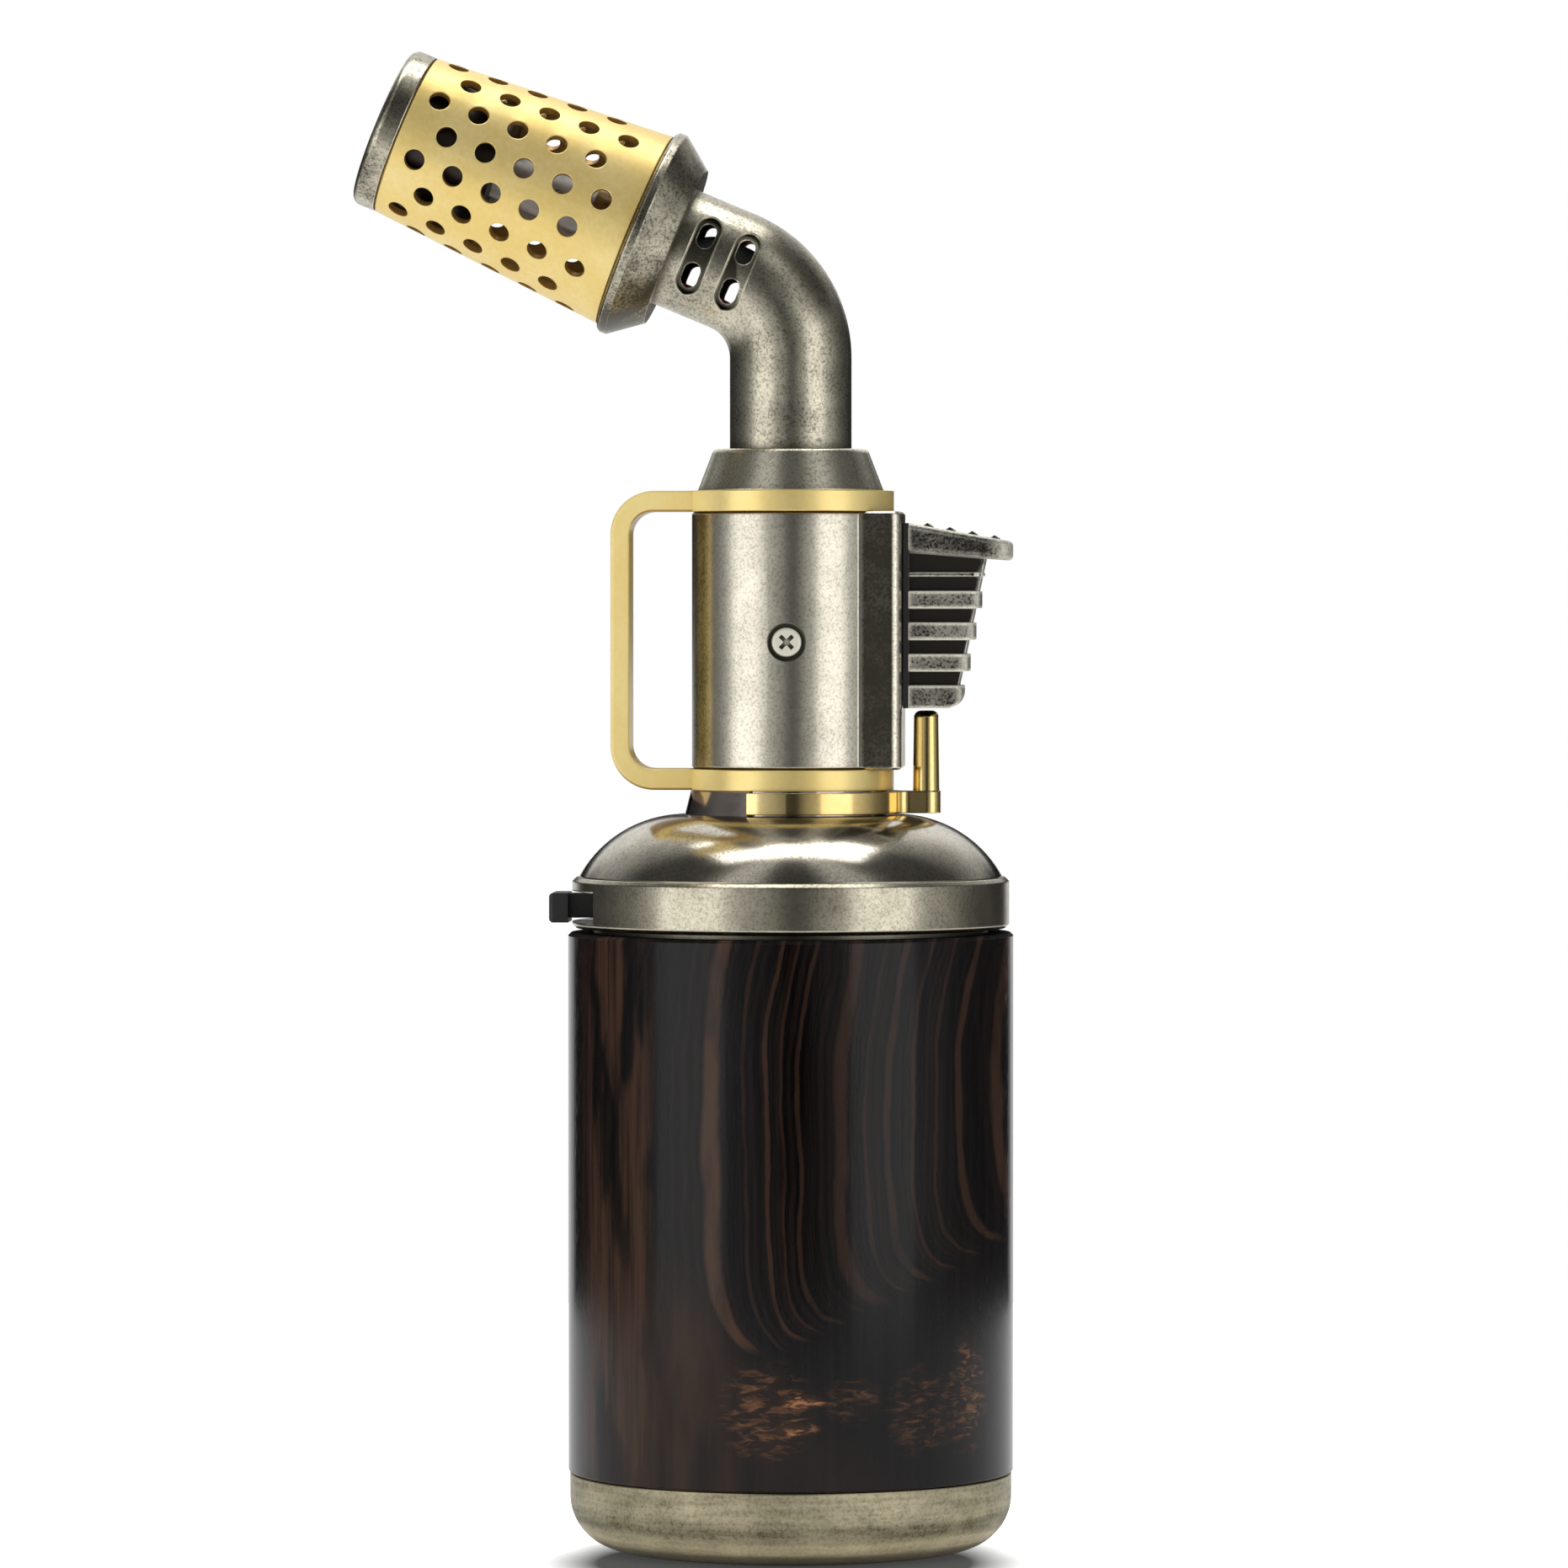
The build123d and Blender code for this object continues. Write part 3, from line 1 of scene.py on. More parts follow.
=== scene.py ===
import bpy
import math
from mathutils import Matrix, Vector

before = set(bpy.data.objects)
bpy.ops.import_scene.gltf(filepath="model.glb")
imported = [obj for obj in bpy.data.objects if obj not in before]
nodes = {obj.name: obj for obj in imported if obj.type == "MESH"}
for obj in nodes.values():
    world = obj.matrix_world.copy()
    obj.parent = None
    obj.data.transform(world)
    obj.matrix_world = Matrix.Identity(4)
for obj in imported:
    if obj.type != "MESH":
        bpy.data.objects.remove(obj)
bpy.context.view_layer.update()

# Camera: a long lens a little right of the front and just above the middle of the torch,
# so that the neck's square front shows as a narrow panel at the right of the round casing.
view = bpy.data.cameras.new("camera")
view.lens = 191.4
view.sensor_width = 36.0
camera = bpy.data.objects.new("camera", view)
camera.location = (0.0376, -0.8602, 0.0980)
aim = Vector((-0.0007, 0.0, 0.0789))
camera.rotation_euler = (aim - camera.location).to_track_quat("-Z", "Y").to_euler()
bpy.context.scene.collection.objects.link(camera)
bpy.context.scene.camera = camera
bpy.context.scene.view_settings.view_transform = "Standard"

# Studio: two square soft boxes stand left and right of the camera, a wide one above and behind.
# The gap between them leaves a dark line down the middle of each metal tube. Each row gives a box's
# name, its degrees round from the front and up, its distance, width and height (m) and its glow.
soft_boxes = [
    ("right_box", 46.0, 0.0, 0.90, 0.57, 0.56, 0.80),
    ("left_box", -56.0, 0.0, 0.90, 0.62, 0.56, 0.80),
    ("top_box", 180.0, 80.0, 0.75, 0.66, 0.44, 2.60),
]
stand = Vector((0.0, 0.0, 0.08))
studio_turn = math.radians(5.0)
for name, turn, rise, reach, width, height, glow in soft_boxes:
    box_light = bpy.data.lights.new(name, "AREA")
    box_light.shape = "RECTANGLE"
    box_light.size = width
    box_light.size_y = height
    box_light.energy = glow * math.pi * width * height
    lamp = bpy.data.objects.new(name, box_light)
    bearing = studio_turn + math.radians(turn)
    lift = math.radians(rise)
    lamp.location = stand + reach * Vector((
        math.cos(lift) * math.sin(bearing), -math.cos(lift) * math.cos(bearing),
        math.sin(lift)))
    lamp.rotation_euler = (stand - lamp.location).to_track_quat("-Z", "Y").to_euler()
    lamp.visible_camera = False
    bpy.context.scene.collection.objects.link(lamp)


# Room: white for the camera, an even soft grey for dull surfaces, and for reflections a light
# tent, dark at the camera, with low black screens at its sides and pale behind and below. Each
# row of stops is (degrees round from the front, brightness).
def add_node(tree, kind, inputs, **settings):
    made = tree.nodes.new(kind)
    for key, value in settings.items():
        setattr(made, key, value)
    for key, value in inputs.items():
        if isinstance(value, bpy.types.NodeSocket):
            tree.links.new(value, made.inputs[key])
        else:
            made.inputs[key].default_value = value
    return made


def ramp_node(tree, value, stops):
    """A grey ramp: stops are (place, brightness) pairs."""
    made = add_node(tree, "ShaderNodeValToRGB", {"Fac": value})
    points = made.color_ramp.elements
    while len(points) < len(stops):
        points.new(1.0)
    for point, (place, bright) in zip(points, stops):
        point.position = place
        point.color = (bright, bright, bright, 1.0)
    return made.outputs["Color"]


room = bpy.data.worlds.new("room")
bpy.context.scene.world = room
room.use_nodes = True
air = room.node_tree
air.nodes.clear()


def air_math(operation, first, second=0.0):
    return add_node(air, "ShaderNodeMath", {0: first, 1: second}, operation=operation).outputs[0]


def air_fade(value, low, high, start, end):
    fade = add_node(air, "ShaderNodeMapRange", {
        "Value": value, "From Min": low, "From Max": high, "To Min": start, "To Max": end})
    return fade.outputs["Result"]


def air_mix(factor, first, second):
    return add_node(air, "ShaderNodeMix", {"Factor": factor, 2: first, 3: second},
                    data_type="FLOAT").outputs[0]


heading = add_node(air, "ShaderNodeSeparateXYZ", {
    0: add_node(air, "ShaderNodeTexCoord", {}).outputs["Generated"]}).outputs
turned_by = air_math("ARCTAN2", heading[0], air_math("MULTIPLY", heading[1], -1.0))
turned_by = air_math("ABSOLUTE", air_math("SUBTRACT", turned_by, studio_turn))
around = air_math("DIVIDE", turned_by, math.pi)
tent_stops = [(4, 0.02), (9, 0.14), (14, 0.26), (20, 0.34), (28, 0.44), (36, 0.58),
              (66, 0.62), (80, 0.42), (100, 0.34), (150, 0.45), (160, 0.75), (180, 0.95)]
upper_stops = [(10, 0.03), (20, 0.06), (30, 0.40), (50, 0.46), (62, 0.12), (72, 0.04),
               (112, 0.04), (140, 0.35), (160, 0.85), (180, 0.95)]
screen_stops = [(80, 0.0), (94, 0.50), (112, 0.82), (134, 0.95), (150, 1.0), (158, 0.0)]
tent, upper, screens = [
    ramp_node(air, around, [(turn / 180.0, bright) for turn, bright in stops])
    for stops in (tent_stops, upper_stops, screen_stops)]
screen_full, screen_end, screen_black = 0.26, 0.48, 0.96
upper_start, upper_full = 0.24, 0.40
ground_start, ground_full, ground_bright = -0.20, -0.40, 0.80
dull_bright = 0.72
low_down = air_fade(heading[2], screen_full, screen_end, screen_black, 0.0)
screened = air_math("SUBTRACT", 1.0, air_math("MULTIPLY", screens, low_down))
tent = air_math("MULTIPLY", tent, screened)
tent = air_mix(air_fade(heading[2], upper_start, upper_full, 0.0, 1.0), tent, upper)
tent = air_math("MAXIMUM", tent,
                air_fade(heading[2], ground_start, ground_full, 0.0, ground_bright))
ray = add_node(air, "ShaderNodeLightPath", {}).outputs
shine = air_mix(ray["Is Glossy Ray"], dull_bright, tent)
seen = air_math("MAXIMUM", ray["Is Camera Ray"], ray["Is Transmission Ray"])
glow_node = add_node(air, "ShaderNodeBackground", {
    "Color": (1.0, 1.0, 1.0, 1.0), "Strength": air_mix(seen, shine, 1.0)})
air.links.new(glow_node.outputs[0],
              add_node(air, "ShaderNodeOutputWorld", {}).inputs["Surface"])

# Black card: a strip of black felt hung behind the neck, where only reflections see it. It darkens
# the edges of the metal tubes.
card_mesh = bpy.data.meshes.new("black_card")
card_reach, card_half_width, card_bottom, card_top = 0.50, 0.34, 0.088, 0.185
card_mesh.from_pydata([
    (-card_half_width, card_reach, card_bottom), (card_half_width, card_reach, card_bottom),
    (card_half_width, card_reach, card_top), (-card_half_width, card_reach, card_top),
], [], [(0, 1, 2, 3)])
card = bpy.data.objects.new("black_card", card_mesh)
bpy.context.scene.collection.objects.link(card)
felt = bpy.data.materials.new("black_felt")
felt.use_nodes = True
nap = felt.node_tree.nodes["Principled BSDF"]
nap.inputs["Base Color"].default_value = (0.0, 0.0, 0.0, 1.0)
nap.inputs["Specular IOR Level"].default_value = 0.0
card_mesh.materials.append(felt)
card.visible_camera = False
card.visible_diffuse = False
card.visible_transmission = False
card.visible_shadow = False

# Floor: a round white sheet under the torch, as white as the room. A short dark shadow is painted
# into its colour in front of the foot. Only the camera sees that painted shadow; the foot mirrors a
# plain white sheet.
floor_mesh = bpy.data.meshes.new("floor")
floor_radius = 0.30
rim_points = 96
shadow_centre = (0.0, -0.015, 0.0)
shadow_core, shadow_end = 0.0190, 0.0275
rim_turns = [2 * math.pi * i / rim_points for i in range(rim_points)]
floor_mesh.from_pydata(
    [(floor_radius * math.cos(turn), floor_radius * math.sin(turn), 0.0) for turn in rim_turns],
    [], [tuple(range(rim_points))])
floor = bpy.data.objects.new("floor", floor_mesh)
bpy.context.scene.collection.objects.link(floor)
sheet = bpy.data.materials.new("white_sheet")
sheet.use_nodes = True
paper = sheet.node_tree
matt = paper.nodes["Principled BSDF"]
matt.inputs["Roughness"].default_value = 1.0
matt.inputs["Specular IOR Level"].default_value = 0.0
spot = add_node(paper, "ShaderNodeTexCoord", {}).outputs["Object"]
away = add_node(paper, "ShaderNodeVectorMath", {0: spot, 1: shadow_centre},
                operation="DISTANCE").outputs["Value"]
# Painted shadow: haze is dark near the front of the foot and white beyond.
haze = add_node(paper, "ShaderNodeMapRange", {
    "Value": away, "From Min": shadow_core, "From Max": shadow_end,
    "To Min": 0.05, "To Max": 1.0}).outputs["Result"]
looked_at = add_node(paper, "ShaderNodeLightPath", {}).outputs["Is Camera Ray"]
hidden = add_node(paper, "ShaderNodeMath", {0: 1.0, 1: looked_at}, operation="SUBTRACT").outputs[0]
whiteness = add_node(paper, "ShaderNodeMath", {0: haze, 1: hidden}, operation="MAXIMUM").outputs[0]
painted_shadow_tint = add_node(paper, "ShaderNodeMix", {
    "Factor": whiteness, 6: (0.02, 0.02, 0.02, 1.0), 7: (0.90, 0.90, 0.90, 1.0)},
    data_type="RGBA").outputs[2]
paper.links.new(painted_shadow_tint, matt.inputs["Base Color"])
shown = add_node(paper, "ShaderNodeMath", {0: looked_at, 1: haze},
                 operation="MULTIPLY").outputs[0]
lift_light = add_node(paper, "ShaderNodeEmission", {"Strength": shown})
both = add_node(paper, "ShaderNodeAddShader", {0: matt.outputs[0], 1: lift_light.outputs[0]})
paper.links.new(both.outputs[0], paper.nodes["Material Output"].inputs["Surface"])
floor_mesh.materials.append(sheet)


# Base cup: a cast zinc foot with a rolled lower edge, plated in antique pewter and rubbed back,
# so that its skin is a warm grey with dark grain and bright rims; its corners are darkened as dirt
# and painted shade.
class Finish:
    """A surface finish: its material and the nodes that give it colour, gloss and relief."""

    def __init__(self, name, metal=1.0, specular=0.5):
        self.material = bpy.data.materials.new(name)
        self.material.use_nodes = True
        self.tree = self.material.node_tree
        self.skin = self.tree.nodes["Principled BSDF"]
        self.skin.inputs["Metallic"].default_value = metal
        self.skin.inputs["Specular IOR Level"].default_value = specular
        place = self.node("ShaderNodeTexCoord").outputs["Object"]
        self.mm = self.scaled(place, (1000.0, 1000.0, 1000.0))
        self.at = self.node("ShaderNodeSeparateXYZ", {0: self.mm}).outputs
        self.flat = self.node("ShaderNodeNewGeometry").outputs["Normal"]
        self.facing = self.node("ShaderNodeSeparateXYZ", {0: self.flat}).outputs

    def node(self, kind, inputs={}, **settings):
        return add_node(self.tree, kind, inputs, **settings)

    def math(self, operation, a, b=0.0, c=0.0, clamp=False):
        return self.node("ShaderNodeMath", {0: a, 1: b, 2: c}, operation=operation,
                         use_clamp=clamp).outputs[0]

    def scaled(self, vector, factor):
        return self.node("ShaderNodeVectorMath", {0: vector, 1: factor},
                         operation="MULTIPLY").outputs[0]

    def noise(self, per_mm, detail=2.0, vector=None, rough=0.5, warp=0.0):
        return self.node("ShaderNodeTexNoise", {
            "Vector": self.mm if vector is None else vector, "Scale": per_mm, "Detail": detail,
            "Roughness": rough, "Distortion": warp}).outputs["Fac"]

    def step(self, value, low, high, start=0.0, end=1.0):
        return self.node("ShaderNodeMapRange", {
            "Value": value, "From Min": low, "From Max": high, "To Min": start, "To Max": end},
            interpolation_type="SMOOTHSTEP").outputs["Result"]

    def blend(self, factor, a, b):
        a, b = [c if isinstance(c, bpy.types.NodeSocket) else (*c, 1.0) for c in (a, b)]
        return self.node("ShaderNodeMix", {"Factor": factor, 6: a, 7: b},
                         data_type="RGBA").outputs[2]

    def eased(self, radius):
        """The surface direction with every edge rounded by radius (m)."""
        return self.node("ShaderNodeBevel", {"Radius": radius}, samples=8).outputs["Normal"]

    def rim(self, radius, crisp=0.90):
        """1 along sharp edges within radius (m), 0 on the open faces."""
        turn = self.node("ShaderNodeVectorMath", {0: self.eased(radius), 1: self.flat},
                         operation="DOT_PRODUCT")
        return self.step(turn.outputs["Value"], 0.998, crisp)

    def shelter(self, distance):
        """1 in the open, falling to 0 deep in corners within distance (m)."""
        return self.node("ShaderNodeAmbientOcclusion", {"Distance": distance},
                         samples=8).outputs["AO"]

    def relief(self, height, depth, under=None):
        inputs = {"Height": height, "Distance": depth, "Strength": 1.0}
        if under is not None:
            inputs["Normal"] = under
        return self.node("ShaderNodeBump", inputs).outputs["Normal"]

    def wear(self, colour, rough, normal=None):
        for socket, value in (("Base Color", colour), ("Roughness", rough), ("Normal", normal)):
            if isinstance(value, bpy.types.NodeSocket):
                self.tree.links.new(value, self.skin.inputs[socket])
            elif isinstance(value, tuple):
                self.skin.inputs[socket].default_value = (*value, 1.0)
            elif value is not None:
                self.skin.inputs[socket].default_value = value
        return self

    def dress(self, *names):
        for name in names:
            for place in nodes[name].material_slots:
                place.material = self.material


corner_reach = 0.0016
rim_gain = 0.6


def antique(name, bright, dark, level=0.86, grain=0.42, cloud=0.22, gloss=(0.34, 0.22),
            rim=0.00025, pits=0.004, soil_and_shade=0.75, speck=3.4, metal_share=1.0, stain=None):
    """Plated, rubbed-back metal: soft clouds, fine dark specks, bright rims, dirt and painted shade
    in corners.
    """
    metal = Finish(name, metal=metal_share)
    clouds = metal.noise(0.25, 3.0, rough=0.6)
    specks = metal.noise(speck, 4.0, rough=0.75)
    tone = metal.math("MULTIPLY_ADD", metal.step(clouds, 0.30, 0.70), 2.0 * cloud, level - cloud)
    tone = metal.math("ADD", tone, metal.step(specks, 0.34, 0.56, -grain, 0.12 * grain))
    if stain is not None:
        tone = metal.math("SUBTRACT", tone, stain(metal))
    # Dirt and painted shade: darker in corners and where other parts come close.
    open_air = metal.step(metal.shelter(corner_reach), 0.45, 0.92, 1.0 - soil_and_shade, 1.0)
    tone = metal.math("MULTIPLY", tone, open_air)
    tone = metal.math("MULTIPLY_ADD", metal.rim(rim), rim_gain, tone, clamp=True)
    rough = metal.math("MULTIPLY_ADD", tone, gloss[1] - gloss[0], gloss[0])
    return metal.wear(metal.blend(tone, dark, bright), rough,
                      metal.relief(specks, pits / 1000.0, under=metal.eased(rim)))


def foot_bands_and_painted_light(metal):
    """Brighter where the foot curls under, as painted light from the floor; darker just above; in
    faint bands.
    """
    belt_top, belt_full = 5.2, 3.8
    curl_top, curl_full = 3.4, 1.8
    dulled = metal.step(metal.at[2], belt_top, belt_full, 0.0, 0.20)
    bands = metal.noise(1.0, 3.0, metal.scaled(metal.mm, (0.10, 0.10, 1.6)))
    dulled = metal.math("ADD", dulled, metal.step(bands, 0.35, 0.65, -0.08, 0.08))
    # Painted light: the curl under the foot is brightened, as light from the floor.
    return metal.math("SUBTRACT", dulled,
                      metal.step(metal.at[2], curl_top, curl_full, 0.0, 0.62))


antique("foot_pewter", (0.86, 0.77, 0.53), (0.15, 0.13, 0.078), level=0.42, grain=0.20, cloud=0.10,
        gloss=(0.44, 0.34), speck=2.6, pits=0.005, stain=foot_bands_and_painted_light).dress("base_cup")


# Filling valve: turned brass parts set into the foot from below, with a rubber seal
# and a steel spring that keeps the stem shut.
def turned(name, colour, dark, rough=0.28):
    """Lathe-turned bar stock: fine rings of tool marks and a little tarnish."""
    stock = Finish(name)
    marks = stock.noise(1.0, 2.0, stock.scaled(stock.mm, (0.6, 0.6, 14.0)))
    stain = stock.noise(0.5, 3.0)
    tone = stock.step(stain, 0.35, 0.75, 0.0, 0.5)
    return stock.wear(stock.blend(tone, colour, dark),
                      stock.math("MULTIPLY_ADD", marks, 0.14, rough - 0.05),
                      stock.relief(marks, 0.000008))


def rubber(name, colour, rough=0.6):
    """Moulded rubber: even, dull, with a faint moulded grain."""
    skin = Finish(name, metal=0.0, specular=0.35)
    grain = skin.noise(9.0, 3.0)
    shade = skin.step(skin.noise(0.8, 2.0), 0.3, 0.7, 0.0, 1.0)
    lighter = tuple(1.35 * c for c in colour)
    return skin.wear(skin.blend(shade, colour, lighter),
                     skin.math("MULTIPLY_ADD", grain, 0.15, rough - 0.07),
                     skin.relief(grain, 0.00001))


brass = turned("turned_brass", (0.76, 0.60, 0.30), (0.52, 0.37, 0.17))
brass.dress("filler_valve_body", "filler_stem")
seal_rubber = rubber("seal_rubber", (0.03, 0.03, 0.03))
seal_rubber.dress("filler_seal")
spring_steel = turned("spring_steel", (0.70, 0.70, 0.68), (0.45, 0.44, 0.42), 0.24)
spring_steel.dress("filler_spring")

# Fuel tank: two drawn brass shells brazed together inside the wood; it shows only from below
# and through the slot, dull and stained by heat.
tank = Finish("drawn_brass")
heat = tank.noise(0.12, 4.0, rough=0.6)
draw_lines = tank.noise(1.0, 2.0, tank.scaled(tank.mm, (3.0, 3.0, 0.2)))
tank.wear(tank.blend(tank.step(heat, 0.35, 0.7), (0.70, 0.53, 0.26), (0.50, 0.31, 0.16)),
          tank.math("MULTIPLY_ADD", draw_lines, 0.2, 0.28), tank.relief(draw_lines, 0.00001))
tank.dress("fuel_tank")

# Wood sleeve: a turned sleeve of very dark striped ebony under a clear gloss lacquer. Its growth
# lines run down the front and bend to the right over a knot low on that side, where short flecks
# show.
wood = Finish("striped_ebony", metal=0.0, specular=0.24)
wx, wy, wz = wood.at[0], wood.at[1], wood.at[2]
knot_top = wood.math("MULTIPLY_ADD", wood.math("MAXIMUM", wx, 0.0), 0.45, 21.5)
over_knot = wood.math("SUBTRACT", wz, knot_top)
pull = wood.math("EXPONENT", wood.math("DIVIDE", wood.math("MAXIMUM", over_knot, -2.0), -3.4))
lean = wood.math("MAXIMUM", wood.math("SUBTRACT", wz, 50.0), 0.0)
lean = wood.math("MULTIPLY", wood.math("MULTIPLY", lean, lean), 0.010)
sway = wood.noise(1.0, 2.0, wood.scaled(wood.mm, (0.10, 0.10, 0.06)))
shake = wood.noise(1.0, 3.0, wood.scaled(wood.mm, (0.5, 0.5, 0.20)))
grain = wood.math("SUBTRACT", wood.math("SUBTRACT", wx, lean), wood.math("MULTIPLY", pull, 5.5))
grain = wood.math("MULTIPLY_ADD", wood.math("SUBTRACT", sway, 0.5), 2.0, grain)
grain = wood.math("MULTIPLY_ADD", wood.math("SUBTRACT", shake, 0.5), 0.7, grain)
# Each growth line's place across the grain, its half width (mm) and its strength.
growth_lines = [
    (-7.35, 1.10, 1.00), (-3.90, 0.30, 0.34), (-1.60, 0.34, 0.62), (0.05, 0.24, 0.34),
    (1.80, 0.34, 0.42), (5.95, 0.95, 0.42), (8.60, 0.26, 0.34), (10.80, 0.50, 0.40),
    (13.20, 0.28, 0.36), (15.50, 0.26, 0.34), (17.80, 0.48, 0.46), (21.30, 0.70, 0.62),
]
lines = 0.0
for place, half_width, strength in growth_lines:
    off_line = wood.math("ABSOLUTE", wood.math("SUBTRACT", grain, place))
    lines = wood.math("MAXIMUM", lines,
                      wood.step(off_line, half_width, 0.35 * half_width, 0.0, strength))
thread_noise = wood.noise(1.0, 1.0, wood.node("ShaderNodeCombineXYZ", {0: grain}).outputs[0])
off_thread = wood.math("ABSOLUTE", wood.math("SUBTRACT", thread_noise, 0.5))
threads = wood.step(off_thread, 0.035, 0.005, 0.0, 0.10)
lines = wood.math("MAXIMUM", lines, threads)
broken = wood.noise(1.0, 3.0, wood.scaled(wood.mm, (0.4, 0.4, 0.10)))
lines = wood.math("MULTIPLY", lines, wood.step(broken, 0.30, 0.55, 0.45, 1.0))
lines = wood.math("MULTIPLY", lines, wood.step(over_knot, 0.0, 2.0))
streaks = wood.noise(1.0, 4.0, wood.scaled(wood.mm, (1.3, 1.3, 0.05)), rough=0.6)
patches = wood.noise(1.0, 3.0, wood.scaled(wood.mm, (0.22, 0.22, 0.055)))
left_zone = wood.math("MULTIPLY", wood.step(wx, -21.5, -19.5), wood.step(wx, -12.5, -14.5))
brown = wood.math("MULTIPLY", wood.math("MULTIPLY", left_zone, wood.step(patches, 0.40, 0.55)),
                  wood.step(streaks, 0.30, 0.62, 0.25, 0.85))
low_zone = wood.math("MULTIPLY", wood.step(wood.math("MULTIPLY_ADD", wx, 0.9, wz), 24.0, 12.0),
                     wood.step(wx, -19.5, -16.0))
low_zone = wood.math("MULTIPLY", low_zone, wood.step(wx, -3.0, -8.0, 0.25, 1.0))
low_brown = wood.math("MULTIPLY", low_zone, wood.step(patches, 0.30, 0.60, 0.15, 0.60))
brown = wood.math("MAXIMUM", brown, low_brown)
brown = wood.math("MAXIMUM", brown, lines)
# Each knot's place across and up, its half width and half height (mm) and its strength.
knots = [
    (-1.6, 16.0, 4.6, 5.0, 0.42), (2.0, 17.2, 2.4, 0.8, 1.60), (1.2, 14.3, 2.4, 0.8, 1.50),
    (7.2, 17.2, 3.0, 2.2, 0.25), (14.2, 15.8, 3.6, 4.4, 0.22), (18.6, 17.2, 1.9, 6.0, 0.48),
]
fleck_zone = 0.0
for across, height, half_width, half_height, strength in knots:
    side = wood.math("DIVIDE", wood.math("SUBTRACT", wx, across), half_width)
    rise = wood.math("DIVIDE", wood.math("SUBTRACT", wz, height), half_height)
    away = wood.math("MULTIPLY_ADD", side, side, wood.math("MULTIPLY", rise, rise))
    away = wood.math("SQRT", away)
    fleck_zone = wood.math("MAXIMUM", fleck_zone, wood.step(away, 1.25, 0.45, 0.0, strength))
fleck_noise = wood.noise(1.0, 2.0, wood.scaled(wood.mm, (0.55, 0.55, 1.7)), rough=0.6, warp=0.6)
fleck_zone = wood.math("MULTIPLY", fleck_zone, wood.step(wy, 2.0, -6.0))
flecks = wood.math("MULTIPLY", wood.step(fleck_noise, 0.46, 0.76, 0.05, 1.0), fleck_zone,
                   clamp=True)
ink = (0.0018, 0.0012, 0.0013)
soot = (0.0060, 0.0044, 0.0048)
walnut = (0.060, 0.030, 0.018)
amber = (0.36, 0.155, 0.065)
dull = wood.blend(wood.step(streaks, 0.35, 0.75), ink, soot)
colour = wood.blend(flecks, wood.blend(brown, dull, walnut), amber)
pores = wood.noise(1.0, 2.0, wood.scaled(wood.mm, (6.0, 6.0, 0.5)))
lacquer_end, sawn_start = 63.25, 63.35
unlacquered = wood.step(wz, lacquer_end, sawn_start, 0.0, 0.85)
wood.wear(colour, wood.math("MULTIPLY_ADD", pores, 0.05, wood.math("ADD", unlacquered, 0.10)),
          wood.relief(wood.step(pores, 0.3, 0.42), 0.000003))
wood.dress("wood_sleeve")

# Shoulder ring: cast and turned like the foot, but rubbed brighter, so its grain stands out less.
# It sits on the top of the wood and has a slot at the left for the flame adjuster.
antique("ring_pewter", (0.72, 0.67, 0.52), (0.10, 0.09, 0.065), level=0.72, grain=0.32, cloud=0.14,
        gloss=(0.27, 0.20)).dress("shoulder_ring")

# Gas valve: a turned brass body set into the tank's top, with a brass stem that the rocker lifts,
# a rubber seal and a steel spring that shuts it.
brass.dress("gas_valve_body", "valve_stem")
seal_rubber.dress("valve_seal")
spring_steel.dress("valve_spring")


# Flame adjuster: a moulded black lever that turns round the gas valve. Its end comes out of the
# ring's slot, ribbed for the thumb.
def moulded(name, colour, rough):
    """Injection-moulded plastic with a fine satin grain."""
    skin = Finish(name, metal=0.0)
    grain = skin.noise(12.0, 2.0)
    flow = skin.noise(0.4, 3.0)
    lighter = tuple(1.3 * c for c in colour)
    return skin.wear(skin.blend(skin.step(flow, 0.3, 0.7), colour, lighter),
                     skin.math("MULTIPLY_ADD", grain, 0.12, rough - 0.06),
                     skin.relief(grain, 0.000008))


black_plastic = moulded("black_nylon", (0.014, 0.014, 0.014), 0.42)
black_plastic.dress("flame_adjuster")

# Dome: a spun cover that closes the top above the ring. It is plated in darker antique pewter and
# polished, so that it mirrors the studio.
antique("dome_pewter", (0.82, 0.76, 0.63), (0.14, 0.12, 0.085), level=0.84, grain=0.35, cloud=0.15,
        gloss=(0.21, 0.15), pits=0.003).dress("dome")

# Lock collar: a turned steel collar between dome and neck, plated in bright black nickel. The
# lock's gold band turns round it.
collar = Finish("black_nickel")
haze = collar.noise(0.3, 3.0)
collar.wear(collar.blend(collar.step(haze, 0.35, 0.7), (0.52, 0.46, 0.42), (0.62, 0.55, 0.50)),
            collar.math("MULTIPLY_ADD", collar.noise(4.0, 2.0), 0.08, 0.10),
            collar.relief(haze, 0.00001))
collar.dress("lock_collar")


